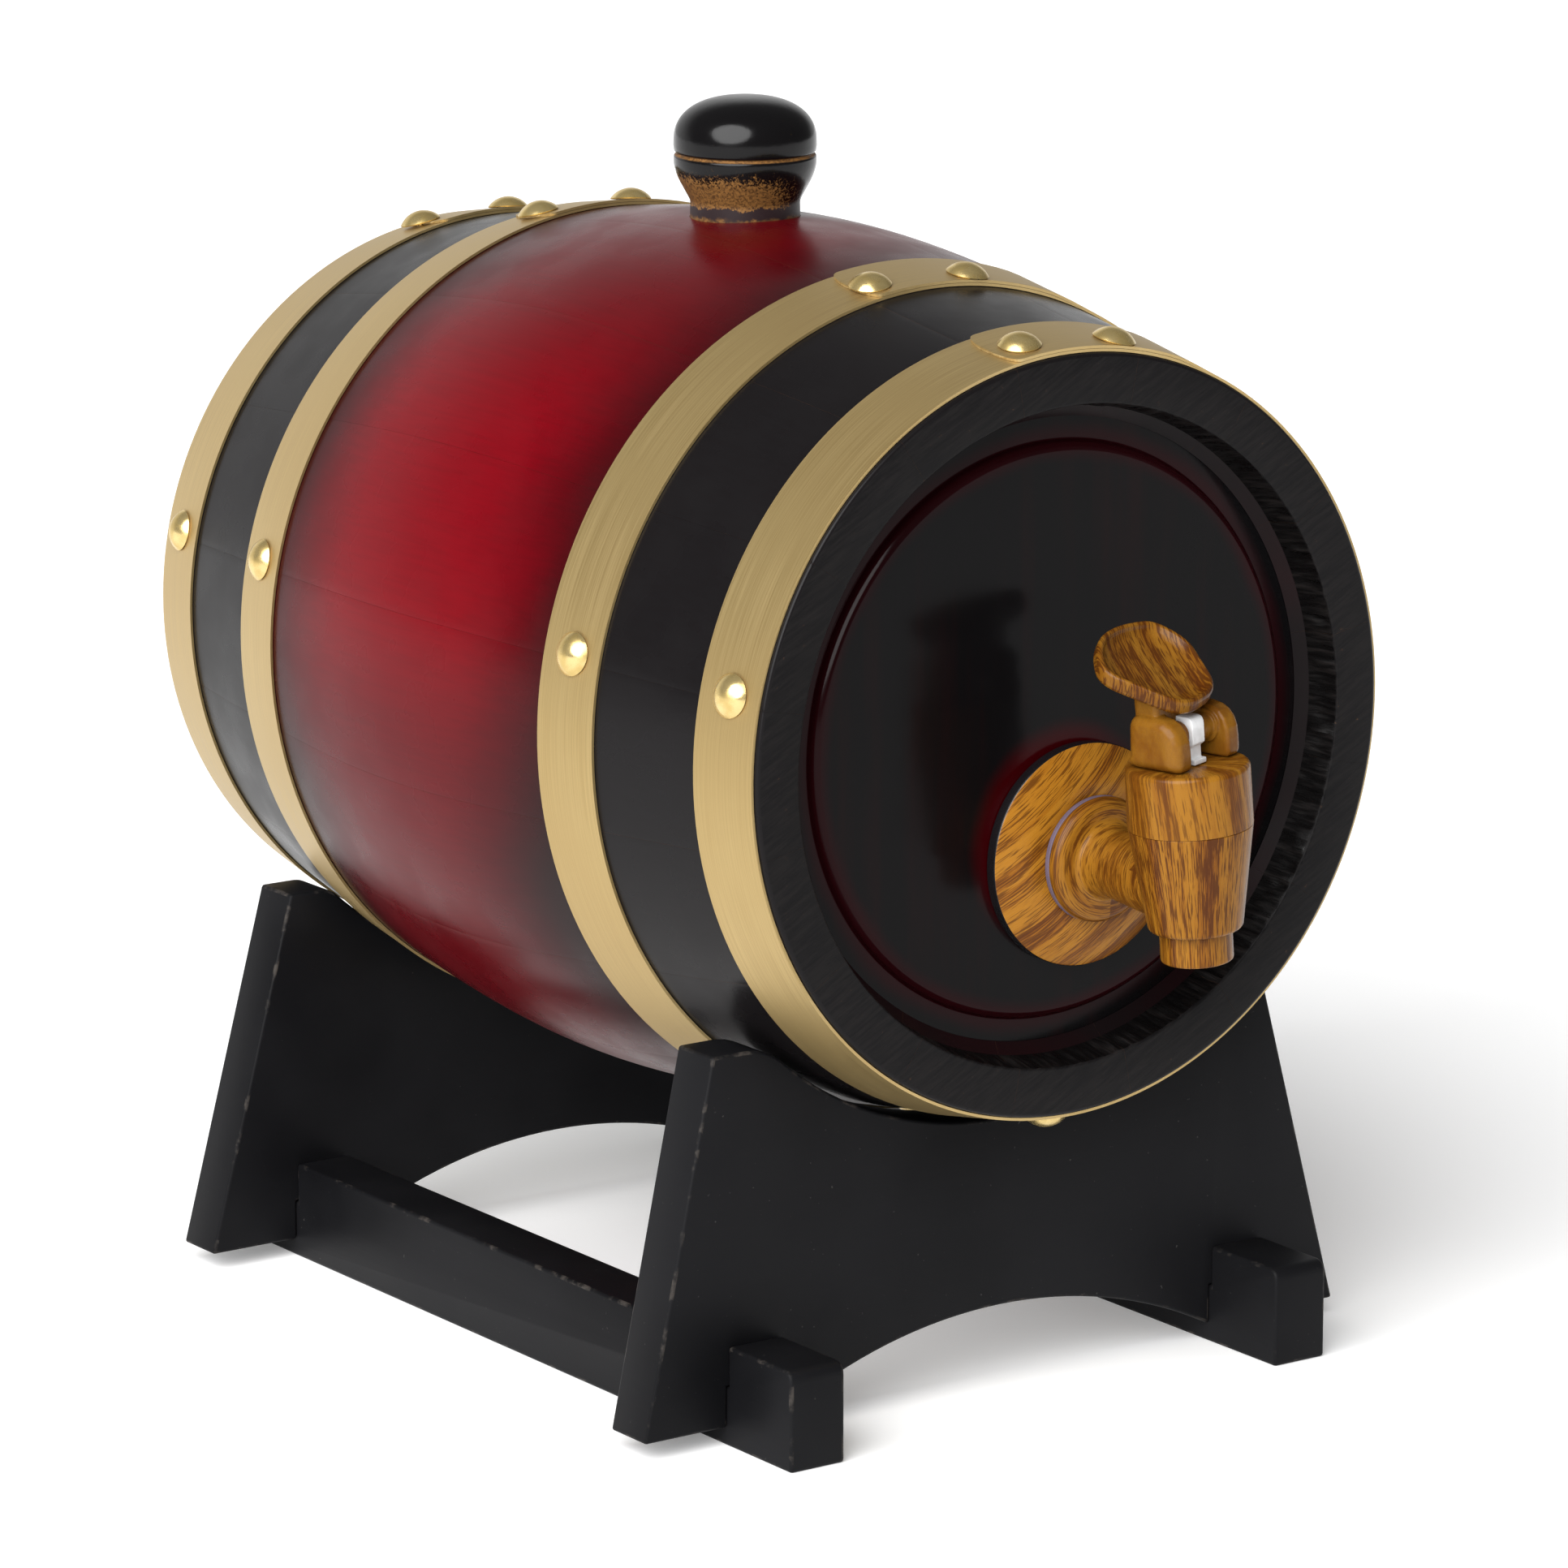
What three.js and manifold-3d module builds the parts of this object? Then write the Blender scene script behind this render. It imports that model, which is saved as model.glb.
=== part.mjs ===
// A small oak wine barrel with a lever tap, lying in a halved wooden cradle.
// Millimetres, +Z up, barrel axis along Y, tap end towards -Y.
// Everything is placed from the middle of the barrel's length; the last lines move the
// whole model along Y so that the origin lies under the middle of its bounding box.
import * as THREE from "three";
import { mergeVertices } from "three/addons/utils/BufferGeometryUtils.js";
import Module from "manifold-3d";

const wasm = await Module();
wasm.setup();

// ---------------------------------------------------------------- driving dimensions

const GAP = 0.3; // left between neighbouring pieces

// Barrel
const BARREL_LENGTH = 247;
const AXIS_Z = 155.2;
const END_RADIUS = 85;
const BILGE_RADIUS = 100.8;
const END_RADIUS_INSIDE = 67.3; // the inner bow, carried on to the ends
const BILGE_RADIUS_INSIDE = 86.8;
const BOW_SOFTNESS = 42; // how gently the bow turns over in the middle
const STAVES = 16;
const FACETS_PER_STAVE = 3;

// Head and the stave ends round it
const HEAD_FACE = 113.0; // distance of the head's outer rim from the middle
const HEAD_RIM_RADIUS = 74.0;
const HEAD_RIM_THICKNESS = 7.0;
const DISC_RADIUS = 64.4;
const DISC_FACE = 115.5;
const HEAD_BACK = 103.5;
const GROOVE_RADIUS = 74.5;
const CHIME_BORE_RADIUS = 74.1;
const SAW_BEVEL_RADIUS = 72.7;
const SAW_BEVEL_FACE = 115.1;
const GROOVE_LIP_RADIUS = 70.0;

// Hoops and tacks
const HOOP_WIDTH = 17.5;
const HOOP_THICKNESS = 0.8;
const LAP_AIR = 0.1;
const CHIME_HOOP_Y = 113.7;
const BILGE_HOOP_Y = 64.7;
const TACK_HEAD_RADIUS = 4.7;
const TACK_HEAD_HEIGHT = 2.2;
const TACK_SHANK_RADIUS = 1.0;
const TACK_SHANK_LENGTH = 6.0;
const TACK_HOLE_RADIUS = 1.5;

// Bung
const BUNG_Y = 2.5;
const PLUG_RADIUS = 12.4;
const PLUG_DEPTH = 18;
const PLUG_TAPER = 0.05;
const KNOB_RADIUS = 16.3;

// Stand
const RAIL_X = 67.75;
const RAIL_WIDTH = 14.5;
const RAIL_HEIGHT = 23;
const RAIL_HALF_LENGTH = 121.7;
const PLATE_THICKNESS = 13.6;
const PLATE_BOTTOM = 4.3;
const PLATE_TOP = 89.3;
const HORN_FLAT = 8.4;
const CRADLE_RADIUS = 92.5;
const CRADLE_Z = 155.8;
const ARCH_HEIGHT = 15.1;
const LAP_JOINT_Z = (PLATE_BOTTOM + RAIL_HEIGHT) / 2;
const FRONT_PLATE = { y: -90.8, leftHorn: 78.7, rightHorn: 73.6, foot: 97 };
const REAR_PLATE = { y: 90.0, leftHorn: 75.4, rightHorn: 75.4, foot: 98.5 };

// Tap: its own axes cross where the shank's axis meets the upright axis of the body
const TAP_X = 7;
const TAP_BELOW_AXIS = 28;
const TAP_REACH = 41.5; // from the head's disc out to the upright axis
const TAP_LEAN = 4.4; // degrees, top towards -X
const LEVER_SWIVEL = 12; // degrees about the upright axis
const SHANK_RADIUS = 8.0;
const SHANK_BORE = 4.5;
const BODY_SEAM = 14.4;
const BODY_BOTTOM = -8.9;
const SPOUT_END = -16.1;
const BODY_TOP_RADIUS = 13.7;
const BODY_BOTTOM_RADIUS = 10.35;
const SPOUT_RADIUS = 8.0;
const SPOUT_BORE = 5.5;
const SEAT_Z = -6.0;
const BONNET_TOP = 28.2;
const PIVOT_HEIGHT = 7.0; // of the lever's axle above the bonnet
const CAM_RISE = 6.0; // millimetres of lift for each radian of lever
const LEVER_TRAVEL = THREE.MathUtils.degToRad(25);
const EAR_INNER = 3.1;
const EAR_OUTER = 9.4;
const BLIND_HOLE_END = EAR_OUTER - 1.2; // of the axle holes in the ears
const TONGUE_HALF = 2.0; // half the thickness of the stem's tongue, between the ears

const HALF_LENGTH = BARREL_LENGTH / 2;
const TAP_Y = -(DISC_FACE + TAP_REACH);
const FACET_ANGLE = (2 * Math.PI) / (STAVES * FACETS_PER_STAVE);

// ---------------------------------------------------------------- materials

function finish(color, roughness, metalness = 0) {
  return new THREE.MeshStandardMaterial({ color, roughness, metalness });
}

const RED_OAK = finish(0x7a0f14, 0.4);
const BLACK_LACQUER = finish(0x140c0d, 0.25);
const BRASS = finish(0xc49a52, 0.35, 1);
const BUNG_WOOD = finish(0x1d1510, 0.35);
const STAND_WOOD = finish(0x1b1b1c, 0.5);
const WOODGRAIN_PLASTIC = finish(0xa8692a, 0.35);
const WHITE_PLASTIC = finish(0xe8e8e4, 0.45);
const RUBBER = finish(0x4b4450, 0.8);
const SPRING_STEEL = finish(0xb8bcc0, 0.3, 1);

// ---------------------------------------------------------------- shared helpers

// A closed geometry as a manifold-3d solid, turned right side out.
function solid(geometry) {
  const bare = geometry.clone();
  bare.deleteAttribute("normal");
  bare.deleteAttribute("uv");
  const merged = mergeVertices(bare, 1e-4);
  const triVerts = new Uint32Array(merged.index.array);
  const build = () =>
    new wasm.Manifold(
      new wasm.Mesh({ numProp: 3, vertProperties: merged.attributes.position.array, triVerts }),
    );
  const made = build();
  if (made.volume() > 0) return made;
  triVerts.reverse();
  return build();
}

function geometryOf(manifold) {
  const mesh = manifold.getMesh();
  const position = new THREE.BufferAttribute(new Float32Array(mesh.vertProperties), 3);
  const geometry = new THREE.BufferGeometry().setAttribute("position", position);
  geometry.setIndex(new THREE.BufferAttribute(new Uint32Array(mesh.triVerts), 1));
  geometry.computeVertexNormals();
  return geometry;
}

function join(...geometries) {
  return geometryOf(geometries.map(solid).reduce((whole, piece) => whole.add(piece)));
}

function cut(geometry, ...tools) {
  return geometryOf(tools.map(solid).reduce((left, tool) => left.subtract(tool), solid(geometry)));
}

function piece(name, geometry, material) {
  const mesh = new THREE.Mesh(geometry, material);
  mesh.name = name;
  return mesh;
}

// Skins copies of one flat outline, each put in its own place, into a closed body.
function loft(outline, places) {
  const count = outline.length;
  const position = places.flatMap((place) => outline.flatMap((p) => place(p).toArray()));
  const last = (places.length - 1) * count;
  const index = [];
  for (let base = 0; base < last; base += count) {
    for (let i = 0; i < count; i++) {
      const a = base + i;
      const b = base + ((i + 1) % count);
      index.push(a, b, b + count, a, b + count, a + count);
    }
  }
  const turn = THREE.ShapeUtils.area(outline) > 0 ? 1 : -1;
  for (const face of THREE.ShapeUtils.triangulateShape(outline, [])) {
    const same = THREE.ShapeUtils.area(face.map((i) => outline[i])) * turn > 0;
    const [a, b, c] = same ? face : [face[2], face[1], face[0]];
    index.push(c, b, a, last + a, last + b, last + c);
  }
  const geometry = new THREE.BufferGeometry();
  geometry.setAttribute("position", new THREE.Float32BufferAttribute(position, 3));
  geometry.setIndex(index);
  return geometryOf(solid(geometry));
}

function points(...pairs) {
  return pairs.map(([x, y]) => new THREE.Vector2(x, y));
}

// Turned about the Y axis; the outline gives radius and place along Y.
function turnedY(outline, segments) {
  return new THREE.LatheGeometry(outline, segments);
}

// Turned about the Z axis; the outline gives radius and height.
function turnedZ(outline, segments) {
  return turnedY(outline, segments).rotateX(Math.PI / 2);
}

function closed(outline) {
  return [...outline, outline[0]];
}

// A plate cut to an outline in X and Z, `thickness` deep, centred on Y = 0.
function plateXZ(shape, thickness) {
  const options = { depth: thickness, bevelEnabled: false, curveSegments: 8 };
  return new THREE.ExtrudeGeometry(shape, options)
    .rotateX(Math.PI / 2)
    .translate(0, thickness / 2, 0);
}

// A plate cut to an outline in Y and Z, running from X = from to X = to.
function plateYZ(shape, from, to) {
  const turn = new THREE.Matrix4().makeBasis(
    new THREE.Vector3(0, 1, 0),
    new THREE.Vector3(0, 0, 1),
    new THREE.Vector3(1, 0, 0),
  );
  const options = { depth: to - from, bevelEnabled: false, curveSegments: 6 };
  return new THREE.ExtrudeGeometry(shape, options).applyMatrix4(turn).translate(from, 0, 0);
}

function rodX(radius, from, to, segments) {
  return new THREE.CylinderGeometry(radius, radius, to - from, segments)
    .rotateZ(Math.PI / 2)
    .translate((from + to) / 2, 0, 0);
}

// ---------------------------------------------------------------- barrel

// The bow of a stave: a hyperbola, flat in the middle and nearly straight at the ends.
function bow(y, middle, end) {
  const rise = Math.hypot(y, BOW_SOFTNESS) - BOW_SOFTNESS;
  const full = Math.hypot(HALF_LENGTH, BOW_SOFTNESS) - BOW_SOFTNESS;
  return middle - ((middle - end) * rise) / full;
}

const outerRadius = (y) => bow(y, BILGE_RADIUS, END_RADIUS);
const innerRadius = (y) => bow(y, BILGE_RADIUS_INSIDE, END_RADIUS_INSIDE);

// A point on the barrel: `angle` from the top towards +X, `radius` from the axis.
function onBarrel(angle, y, radius) {
  return new THREE.Vector3(radius * Math.sin(angle), y, AXIS_Z + radius * Math.cos(angle));
}

// A stave's outline along its length, in Y and radius.
function staveOutline() {
  const edges = [CHIME_HOOP_Y, BILGE_HOOP_Y].flatMap((y) => [y + HOOP_WIDTH / 2, y - HOOP_WIDTH / 2]);
  const outside = [HALF_LENGTH, edges[0], edges[1], 89, edges[2], edges[3], 39, 20, 0];
  const inside = [0, 30, 55, 80];
  const grooveBack = HEAD_FACE - HEAD_RIM_THICKNESS - GAP;
  const grooveFront = HEAD_FACE + GAP;
  const front = [
    ...outside.map((y) => new THREE.Vector2(y, outerRadius(y))).reverse(),
    ...points(
      [HALF_LENGTH, CHIME_BORE_RADIUS],
      [SAW_BEVEL_FACE, SAW_BEVEL_RADIUS],
      [grooveFront, GROOVE_LIP_RADIUS],
      [grooveFront, GROOVE_RADIUS],
      [grooveBack, GROOVE_RADIUS],
      [grooveBack, innerRadius(grooveBack)],
    ),
    ...inside.map((y) => new THREE.Vector2(y, innerRadius(y))).reverse(),
  ];
  const back = front
    .filter((p) => p.x > 0)
    .map((p) => new THREE.Vector2(-p.x, p.y))
    .reverse();
  return [...front, ...back];
}

function stave(number) {
  const middle = (number - 1) * FACETS_PER_STAVE * FACET_ANGLE;
  const halfGap = GAP / 2 / END_RADIUS;
  const places = [-1.5, -0.5, 0.5, 1.5].map((facets) => {
    const edge = Math.abs(facets) === FACETS_PER_STAVE / 2;
    const angle = middle + facets * FACET_ANGLE - (edge ? Math.sign(facets) * halfGap : 0);
    return (p) => onBarrel(angle, p.x, p.y);
  });
  return loft(staveOutline(), places);
}

function bungHole() {
  const below = PLUG_DEPTH + 4;
  const above = 6;
  const profile = points(
    [0, -below],
    [PLUG_RADIUS + GAP - PLUG_TAPER * below, -below],
    [PLUG_RADIUS + GAP + PLUG_TAPER * above, above],
    [0, above],
  );
  return turnedZ(profile, 32).translate(0, BUNG_Y, AXIS_Z + BILGE_RADIUS);
}

// A head, made for the +Y end. The raised disc has a worn chamfer round it.
function head() {
  const chamfer = 1.0;
  const lipClearance = 0.6;
  const rimBack = HEAD_FACE - HEAD_RIM_THICKNESS;
  const backRadius = GROOVE_LIP_RADIUS + lipClearance;
  const profile = points(
    [0, HEAD_BACK],
    [backRadius - (rimBack - HEAD_BACK), HEAD_BACK],
    [backRadius, rimBack],
    [HEAD_RIM_RADIUS, rimBack],
    [HEAD_RIM_RADIUS, HEAD_FACE],
    [DISC_RADIUS, HEAD_FACE],
    [DISC_RADIUS, DISC_FACE - chamfer],
    [DISC_RADIUS - chamfer, DISC_FACE],
    [0, DISC_FACE],
  );
  return turnedY(profile, STAVES * FACETS_PER_STAVE).translate(0, 0, AXIS_Z);
}

function shankHole() {
  const radius = SHANK_RADIUS + GAP;
  const depth = 3 * (DISC_FACE - HEAD_BACK);
  return new THREE.CylinderGeometry(radius, radius, depth, 24).translate(
    TAP_X,
    -(DISC_FACE + HEAD_BACK) / 2,
    AXIS_Z - TAP_BELOW_AXIS,
  );
}

// ---------------------------------------------------------------- hoops and tacks

// A hoop is one strip, bent right round and lapped over its own start on top.
const LAP_START = 2.5; // facets from the top towards +X, where the hidden end lies
const LAP_FACETS = 4; // facets of lap before the rounded tongue
const TONGUE_LENGTH = 2.6; // degrees

function stripPlace(centreY, angle, lift, width) {
  return (corner) => {
    const y = centreY + (corner.x * width) / 2;
    return onBarrel(angle, y, outerRadius(y) + lift + corner.y * HOOP_THICKNESS);
  };
}

function hoop(centreY) {
  const corners = points([-1, 0], [1, 0], [1, 1], [-1, 1]);
  const lapLift = GAP + HOOP_THICKNESS + LAP_AIR;
  const once = STAVES * FACETS_PER_STAVE;
  const start = LAP_START * FACET_ANGLE;
  const places = [];
  for (let step = 0; step <= once + LAP_FACETS; step++) {
    const lift = step < once ? GAP : lapLift;
    places.push(stripPlace(centreY, start - step * FACET_ANGLE, lift, HOOP_WIDTH));
  }
  const tongue = start - (once + LAP_FACETS) * FACET_ANGLE;
  for (const along of [0.4, 0.7, 0.9, 0.98]) {
    const angle = tongue - along * THREE.MathUtils.degToRad(TONGUE_LENGTH);
    places.push(stripPlace(centreY, angle, lapLift, HOOP_WIDTH * Math.sqrt(1 - along * along)));
  }
  return loft(corners, places);
}

// Where a tack goes: its angle round the barrel and its place along it, and whether it
// holds the lap.
function tackSpots(centreY, lapTacks) {
  const single = [-78, 180, 78].map((degrees) => ({ degrees, y: centreY, lapped: false }));
  const lapped = lapTacks.map(([degrees, along]) => ({ degrees, y: centreY + along, lapped: true }));
  return [...lapped, ...single];
}

// Stands `object` on the barrel's surface, its own +Y pointing straight out of the stave.
function standOnStave(object, spot, lift) {
  const angle = THREE.MathUtils.degToRad(spot.degrees);
  const slope = Math.atan2(outerRadius(spot.y - 1) - outerRadius(spot.y + 1), 2);
  const outwards = new THREE.Vector3(
    Math.sin(angle) * Math.cos(slope),
    Math.sin(slope),
    Math.cos(angle) * Math.cos(slope),
  );
  object.position.copy(onBarrel(angle, spot.y, outerRadius(spot.y)));
  object.position.addScaledVector(outwards, lift);
  object.quaternion.setFromUnitVectors(new THREE.Vector3(0, 1, 0), outwards);
  object.updateMatrix();
  return object;
}

function tackGeometry() {
  const sphere = (TACK_HEAD_RADIUS ** 2 + TACK_HEAD_HEIGHT ** 2) / (2 * TACK_HEAD_HEIGHT);
  const rimAngle = Math.asin(TACK_HEAD_RADIUS / sphere);
  const dome = [1, 0.55].map((part) => {
    const angle = part * rimAngle;
    const drop = sphere * (Math.cos(rimAngle) - Math.cos(angle));
    return new THREE.Vector2(sphere * Math.sin(angle), -drop);
  });
  const outline = [
    ...points([0, -TACK_SHANK_LENGTH], [TACK_SHANK_RADIUS, 1 - TACK_SHANK_LENGTH], [TACK_SHANK_RADIUS, 0]),
    ...dome,
    ...points([0, TACK_HEAD_HEIGHT]),
  ];
  return geometryOf(solid(turnedY(outline, 10)));
}

function tackHole(spot) {
  const depth = 2 * (TACK_SHANK_LENGTH + GAP);
  const hole = new THREE.Mesh(new THREE.CylinderGeometry(TACK_HOLE_RADIUS, TACK_HOLE_RADIUS, depth, 6));
  standOnStave(hole, spot, 0);
  return hole.geometry.applyMatrix4(hole.matrix);
}

const HOOPS = [
  { name: "front_chime", y: -CHIME_HOOP_Y, lapTacks: [[-6.6, -1.5], [9, -3.5]] },
  { name: "front_bilge", y: -BILGE_HOOP_Y, lapTacks: [[-8.9, -2], [6, -4]] },
  { name: "rear_bilge", y: BILGE_HOOP_Y, lapTacks: [[-9.5, -1], [5.5, -2]] },
  { name: "rear_chime", y: CHIME_HOOP_Y, lapTacks: [[-11, 0], [4.7, -1]] },
];

// ---------------------------------------------------------------- bung

function bung() {
  const domeFoot = 15;
  const domeHeight = 12.1;
  const dome = [0, 0.2, 0.4, 0.6, 0.8].map((part) => {
    const angle = (part * Math.PI) / 2;
    return new THREE.Vector2(KNOB_RADIUS * Math.cos(angle), domeFoot + domeHeight * Math.sin(angle));
  });
  const profile = [
    ...points(
      [0, -PLUG_DEPTH],
      [PLUG_RADIUS - PLUG_TAPER * PLUG_DEPTH, -PLUG_DEPTH],
      [PLUG_RADIUS, 0],
      [PLUG_RADIUS + 0.2, 3.6],
      [13.5, 4.2],
      [15.4, 7.2],
      [KNOB_RADIUS, 11],
      [15.6, 13],
      [14.9, 13.8],
    ),
    ...dome,
    ...points([0, domeFoot + domeHeight]),
  ];
  return geometryOf(solid(turnedZ(profile, 32)));
}

// ---------------------------------------------------------------- stand

// A cross plate, seen from the tap end: feet, two horns, and a round cradle between them.
// The corner between a horn's flat top and the cradle is an arc that touches both.
function cradlePlate({ leftHorn, rightHorn, foot }) {
  const railOuter = RAIL_X + RAIL_WIDTH / 2 + GAP;
  const railInner = RAIL_X - RAIL_WIDTH / 2 - GAP;
  const lapTop = LAP_JOINT_Z + GAP / 2;
  const drop = CRADLE_Z - PLATE_TOP;
  const corner = (flatEnd) =>
    (flatEnd ** 2 / (CRADLE_RADIUS - drop) - CRADLE_RADIUS - drop) / 2;
  const archRadius = (railInner ** 2 + ARCH_HEIGHT ** 2) / (2 * ARCH_HEIGHT);
  const archCentre = PLATE_BOTTOM + ARCH_HEIGHT - archRadius;
  const archAngle = Math.asin(railInner / archRadius);
  const up = Math.PI / 2;

  const rightFlat = rightHorn - HORN_FLAT;
  const leftFlat = leftHorn - HORN_FLAT;
  const rightCorner = corner(rightFlat);
  const leftCorner = corner(leftFlat);
  const rightTouch = Math.atan2(-drop - rightCorner, rightFlat);
  const leftTouch = Math.atan2(-drop - leftCorner, leftFlat);

  const shape = new THREE.Shape();
  shape.moveTo(railOuter, PLATE_BOTTOM);
  shape.lineTo(foot, PLATE_BOTTOM);
  shape.lineTo(rightHorn, PLATE_TOP);
  shape.absarc(rightFlat, PLATE_TOP - rightCorner, rightCorner, up, Math.PI + rightTouch, false);
  shape.absarc(0, CRADLE_Z, CRADLE_RADIUS, rightTouch, -Math.PI - leftTouch, true);
  shape.absarc(-leftFlat, PLATE_TOP - leftCorner, leftCorner, -leftTouch, up, false);
  shape.lineTo(-leftHorn, PLATE_TOP);
  shape.lineTo(-foot, PLATE_BOTTOM);
  shape.lineTo(-railOuter, PLATE_BOTTOM);
  shape.lineTo(-railOuter, lapTop);
  shape.lineTo(-railInner, lapTop);
  shape.absarc(0, archCentre, archRadius, up + archAngle, up - archAngle, true);
  shape.lineTo(railInner, lapTop);
  shape.lineTo(railOuter, lapTop);
  return geometryOf(solid(plateXZ(shape, PLATE_THICKNESS)));
}

// A long rail, notched from above for both plates, with eased ends.
function rail() {
  const ease = 3;
  const lapBottom = LAP_JOINT_Z - GAP / 2;
  const end = RAIL_HALF_LENGTH;
  const shape = new THREE.Shape();
  shape.moveTo(-end, 0);
  shape.lineTo(end, 0);
  shape.absarc(end - ease, RAIL_HEIGHT - ease, ease, 0, Math.PI / 2, false);
  for (const { y } of [REAR_PLATE, FRONT_PLATE]) {
    const half = PLATE_THICKNESS / 2 + GAP;
    shape.lineTo(y + half, RAIL_HEIGHT);
    shape.lineTo(y + half, lapBottom);
    shape.lineTo(y - half, lapBottom);
    shape.lineTo(y - half, RAIL_HEIGHT);
  }
  shape.absarc(ease - end, RAIL_HEIGHT - ease, ease, Math.PI / 2, Math.PI, false);
  return geometryOf(solid(plateYZ(shape, -RAIL_WIDTH / 2, RAIL_WIDTH / 2)));
}

// ---------------------------------------------------------------- tap
// In the tap's own frame Y runs from the upright axis back into the barrel.

const HEAD_THICKNESS = DISC_FACE - HEAD_BACK;
const PLATE_BACK = TAP_REACH - GAP;
const PLATE_FRONT = TAP_REACH - 6.6;
const FLANGE_BACK = TAP_REACH - 8.1;
const FLANGE_FRONT = TAP_REACH - 11;
const FLANGE_RADIUS = 14.1;
const HEAD_INSIDE = TAP_REACH + HEAD_THICKNESS + GAP;
const INNER_WASHER_RADIUS = 13;
const INNER_WASHER_END = HEAD_INSIDE + 1.8;
const NUT_THICKNESS = 5.5;
const SHANK_END = INNER_WASHER_END + NUT_THICKNESS + 3;
const STEM_RADIUS = 2.0;
const STEM_FOOT = SEAT_Z + 4 + GAP;
const AXLE_RADIUS = 2.1;
const SPIGOT_RADIUS = 11.3;
const SPIGOT_TOP = 19.5;
const BONNET_UNDERSIDE = 24.6;
const STEM_COLLAR_TOP = 9.6;

// A flat rubber ring on the shank, from Y = `from` to Y = `to`.
function washer(radius, from, to) {
  const bore = SHANK_RADIUS + GAP;
  return turnedY(closed(points([bore, from], [radius, from], [radius, to], [bore, to])), 32);
}

// The hexagonal nut on the shank inside the barrel; its thread is left plain.
function lockNut() {
  const radius = 13.5;
  const bore = SHANK_RADIUS + GAP;
  const from = INNER_WASHER_END + GAP;
  const nut = new THREE.CylinderGeometry(radius, radius, NUT_THICKNESS, 6);
  const hole = new THREE.CylinderGeometry(bore, bore, 3 * NUT_THICKNESS, 24);
  return cut(nut.translate(0, from + NUT_THICKNESS / 2, 0), hole.translate(0, from, 0));
}

// The round backplate: a thin straight wall, then a shallow dome up to the flange.
function tapBackplate() {
  const rimRadius = 25.2;
  const wall = 3;
  const flatRadius = 14;
  const shoulder = PLATE_BACK - wall;
  const dome = [0, 0.35, 0.7, 1].map((part) => {
    const radius = flatRadius + part * (rimRadius - flatRadius);
    return new THREE.Vector2(radius, PLATE_FRONT + (shoulder - PLATE_FRONT) * part ** 2);
  });
  const bore = SHANK_RADIUS + GAP;
  const outline = [
    ...points([bore, PLATE_FRONT]),
    ...dome,
    ...points([rimRadius, PLATE_BACK], [bore, PLATE_BACK]),
  ];
  return geometryOf(solid(turnedY(closed(outline), 40)));
}

// The body: a waisted neck with a flange at its back, and the upright barrel of the valve.
function tapBody() {
  const neckRoot = 8.8;
  const waist = 7.5;
  const neck = points(
    [0, 0],
    [neckRoot, 0],
    [neckRoot, 12],
    [waist + 0.4, 22],
    [waist, 28],
    [waist + 0.7, 30],
    [waist + 1.5, FLANGE_FRONT],
    [FLANGE_RADIUS - 1.5, FLANGE_FRONT],
    [FLANGE_RADIUS - 0.3, FLANGE_FRONT + 0.6],
    [FLANGE_RADIUS, FLANGE_FRONT + 1.8],
    [FLANGE_RADIUS, FLANGE_BACK],
    [SHANK_RADIUS, FLANGE_BACK],
    [SHANK_RADIUS, SHANK_END],
    [0, SHANK_END],
  );
  const barrel = points(
    [0, SPOUT_END],
    [SPOUT_RADIUS - 0.6, SPOUT_END],
    [SPOUT_RADIUS, SPOUT_END + 0.6],
    [SPOUT_RADIUS, BODY_BOTTOM],
    [BODY_BOTTOM_RADIUS - 0.9, BODY_BOTTOM],
    [BODY_BOTTOM_RADIUS, BODY_BOTTOM + 0.9],
    [BODY_TOP_RADIUS, BODY_SEAM],
    [SPIGOT_RADIUS, BODY_SEAM],
    [SPIGOT_RADIUS, SPIGOT_TOP],
    [0, SPIGOT_TOP],
  );
  const seatRadius = 8.3;
  const chamberRadius = 9.6;
  const past = 4; // how far each bore's tool runs on past the surface it opens
  const chamber = points(
    [0, SEAT_Z],
    [seatRadius, SEAT_Z],
    [chamberRadius, 6],
    [chamberRadius, SPIGOT_TOP + past],
    [0, SPIGOT_TOP + past],
  );
  const spoutBore = points(
    [0, SPOUT_END - past],
    [SPOUT_BORE, SPOUT_END - past],
    [SPOUT_BORE, SEAT_Z + 1],
    [0, SEAT_Z + 1],
  );
  const shankBore = points(
    [0, 0],
    [SHANK_BORE, 0],
    [SHANK_BORE, SHANK_END + past],
    [0, SHANK_END + past],
  );
  return cut(
    join(turnedY(neck, 28), turnedZ(barrel, 32)),
    turnedZ(chamber, 32),
    turnedZ(spoutBore, 24),
    turnedY(shankBore, 20),
  );
}

// The screwed cap over the valve chamber, with the stem's hole in its top.
function tapBonnet() {
  const skirt = SPIGOT_RADIUS + GAP;
  const stemHole = STEM_RADIUS + 0.4;
  const springPocket = 8;
  const ledge = SPIGOT_TOP + 0.5;
  const outline = points(
    [skirt, BODY_SEAM + GAP],
    [BODY_TOP_RADIUS, BODY_SEAM + GAP],
    [BODY_TOP_RADIUS - 0.1, BONNET_TOP - 1.2],
    [BODY_TOP_RADIUS - 0.5, BONNET_TOP - 0.3],
    [BODY_TOP_RADIUS - 1.2, BONNET_TOP],
    [stemHole, BONNET_TOP],
    [stemHole, BONNET_UNDERSIDE],
    [springPocket, BONNET_UNDERSIDE],
    [springPocket, ledge],
    [skirt, ledge],
  );
  return geometryOf(solid(turnedZ(closed(outline), 32)));
}

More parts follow.
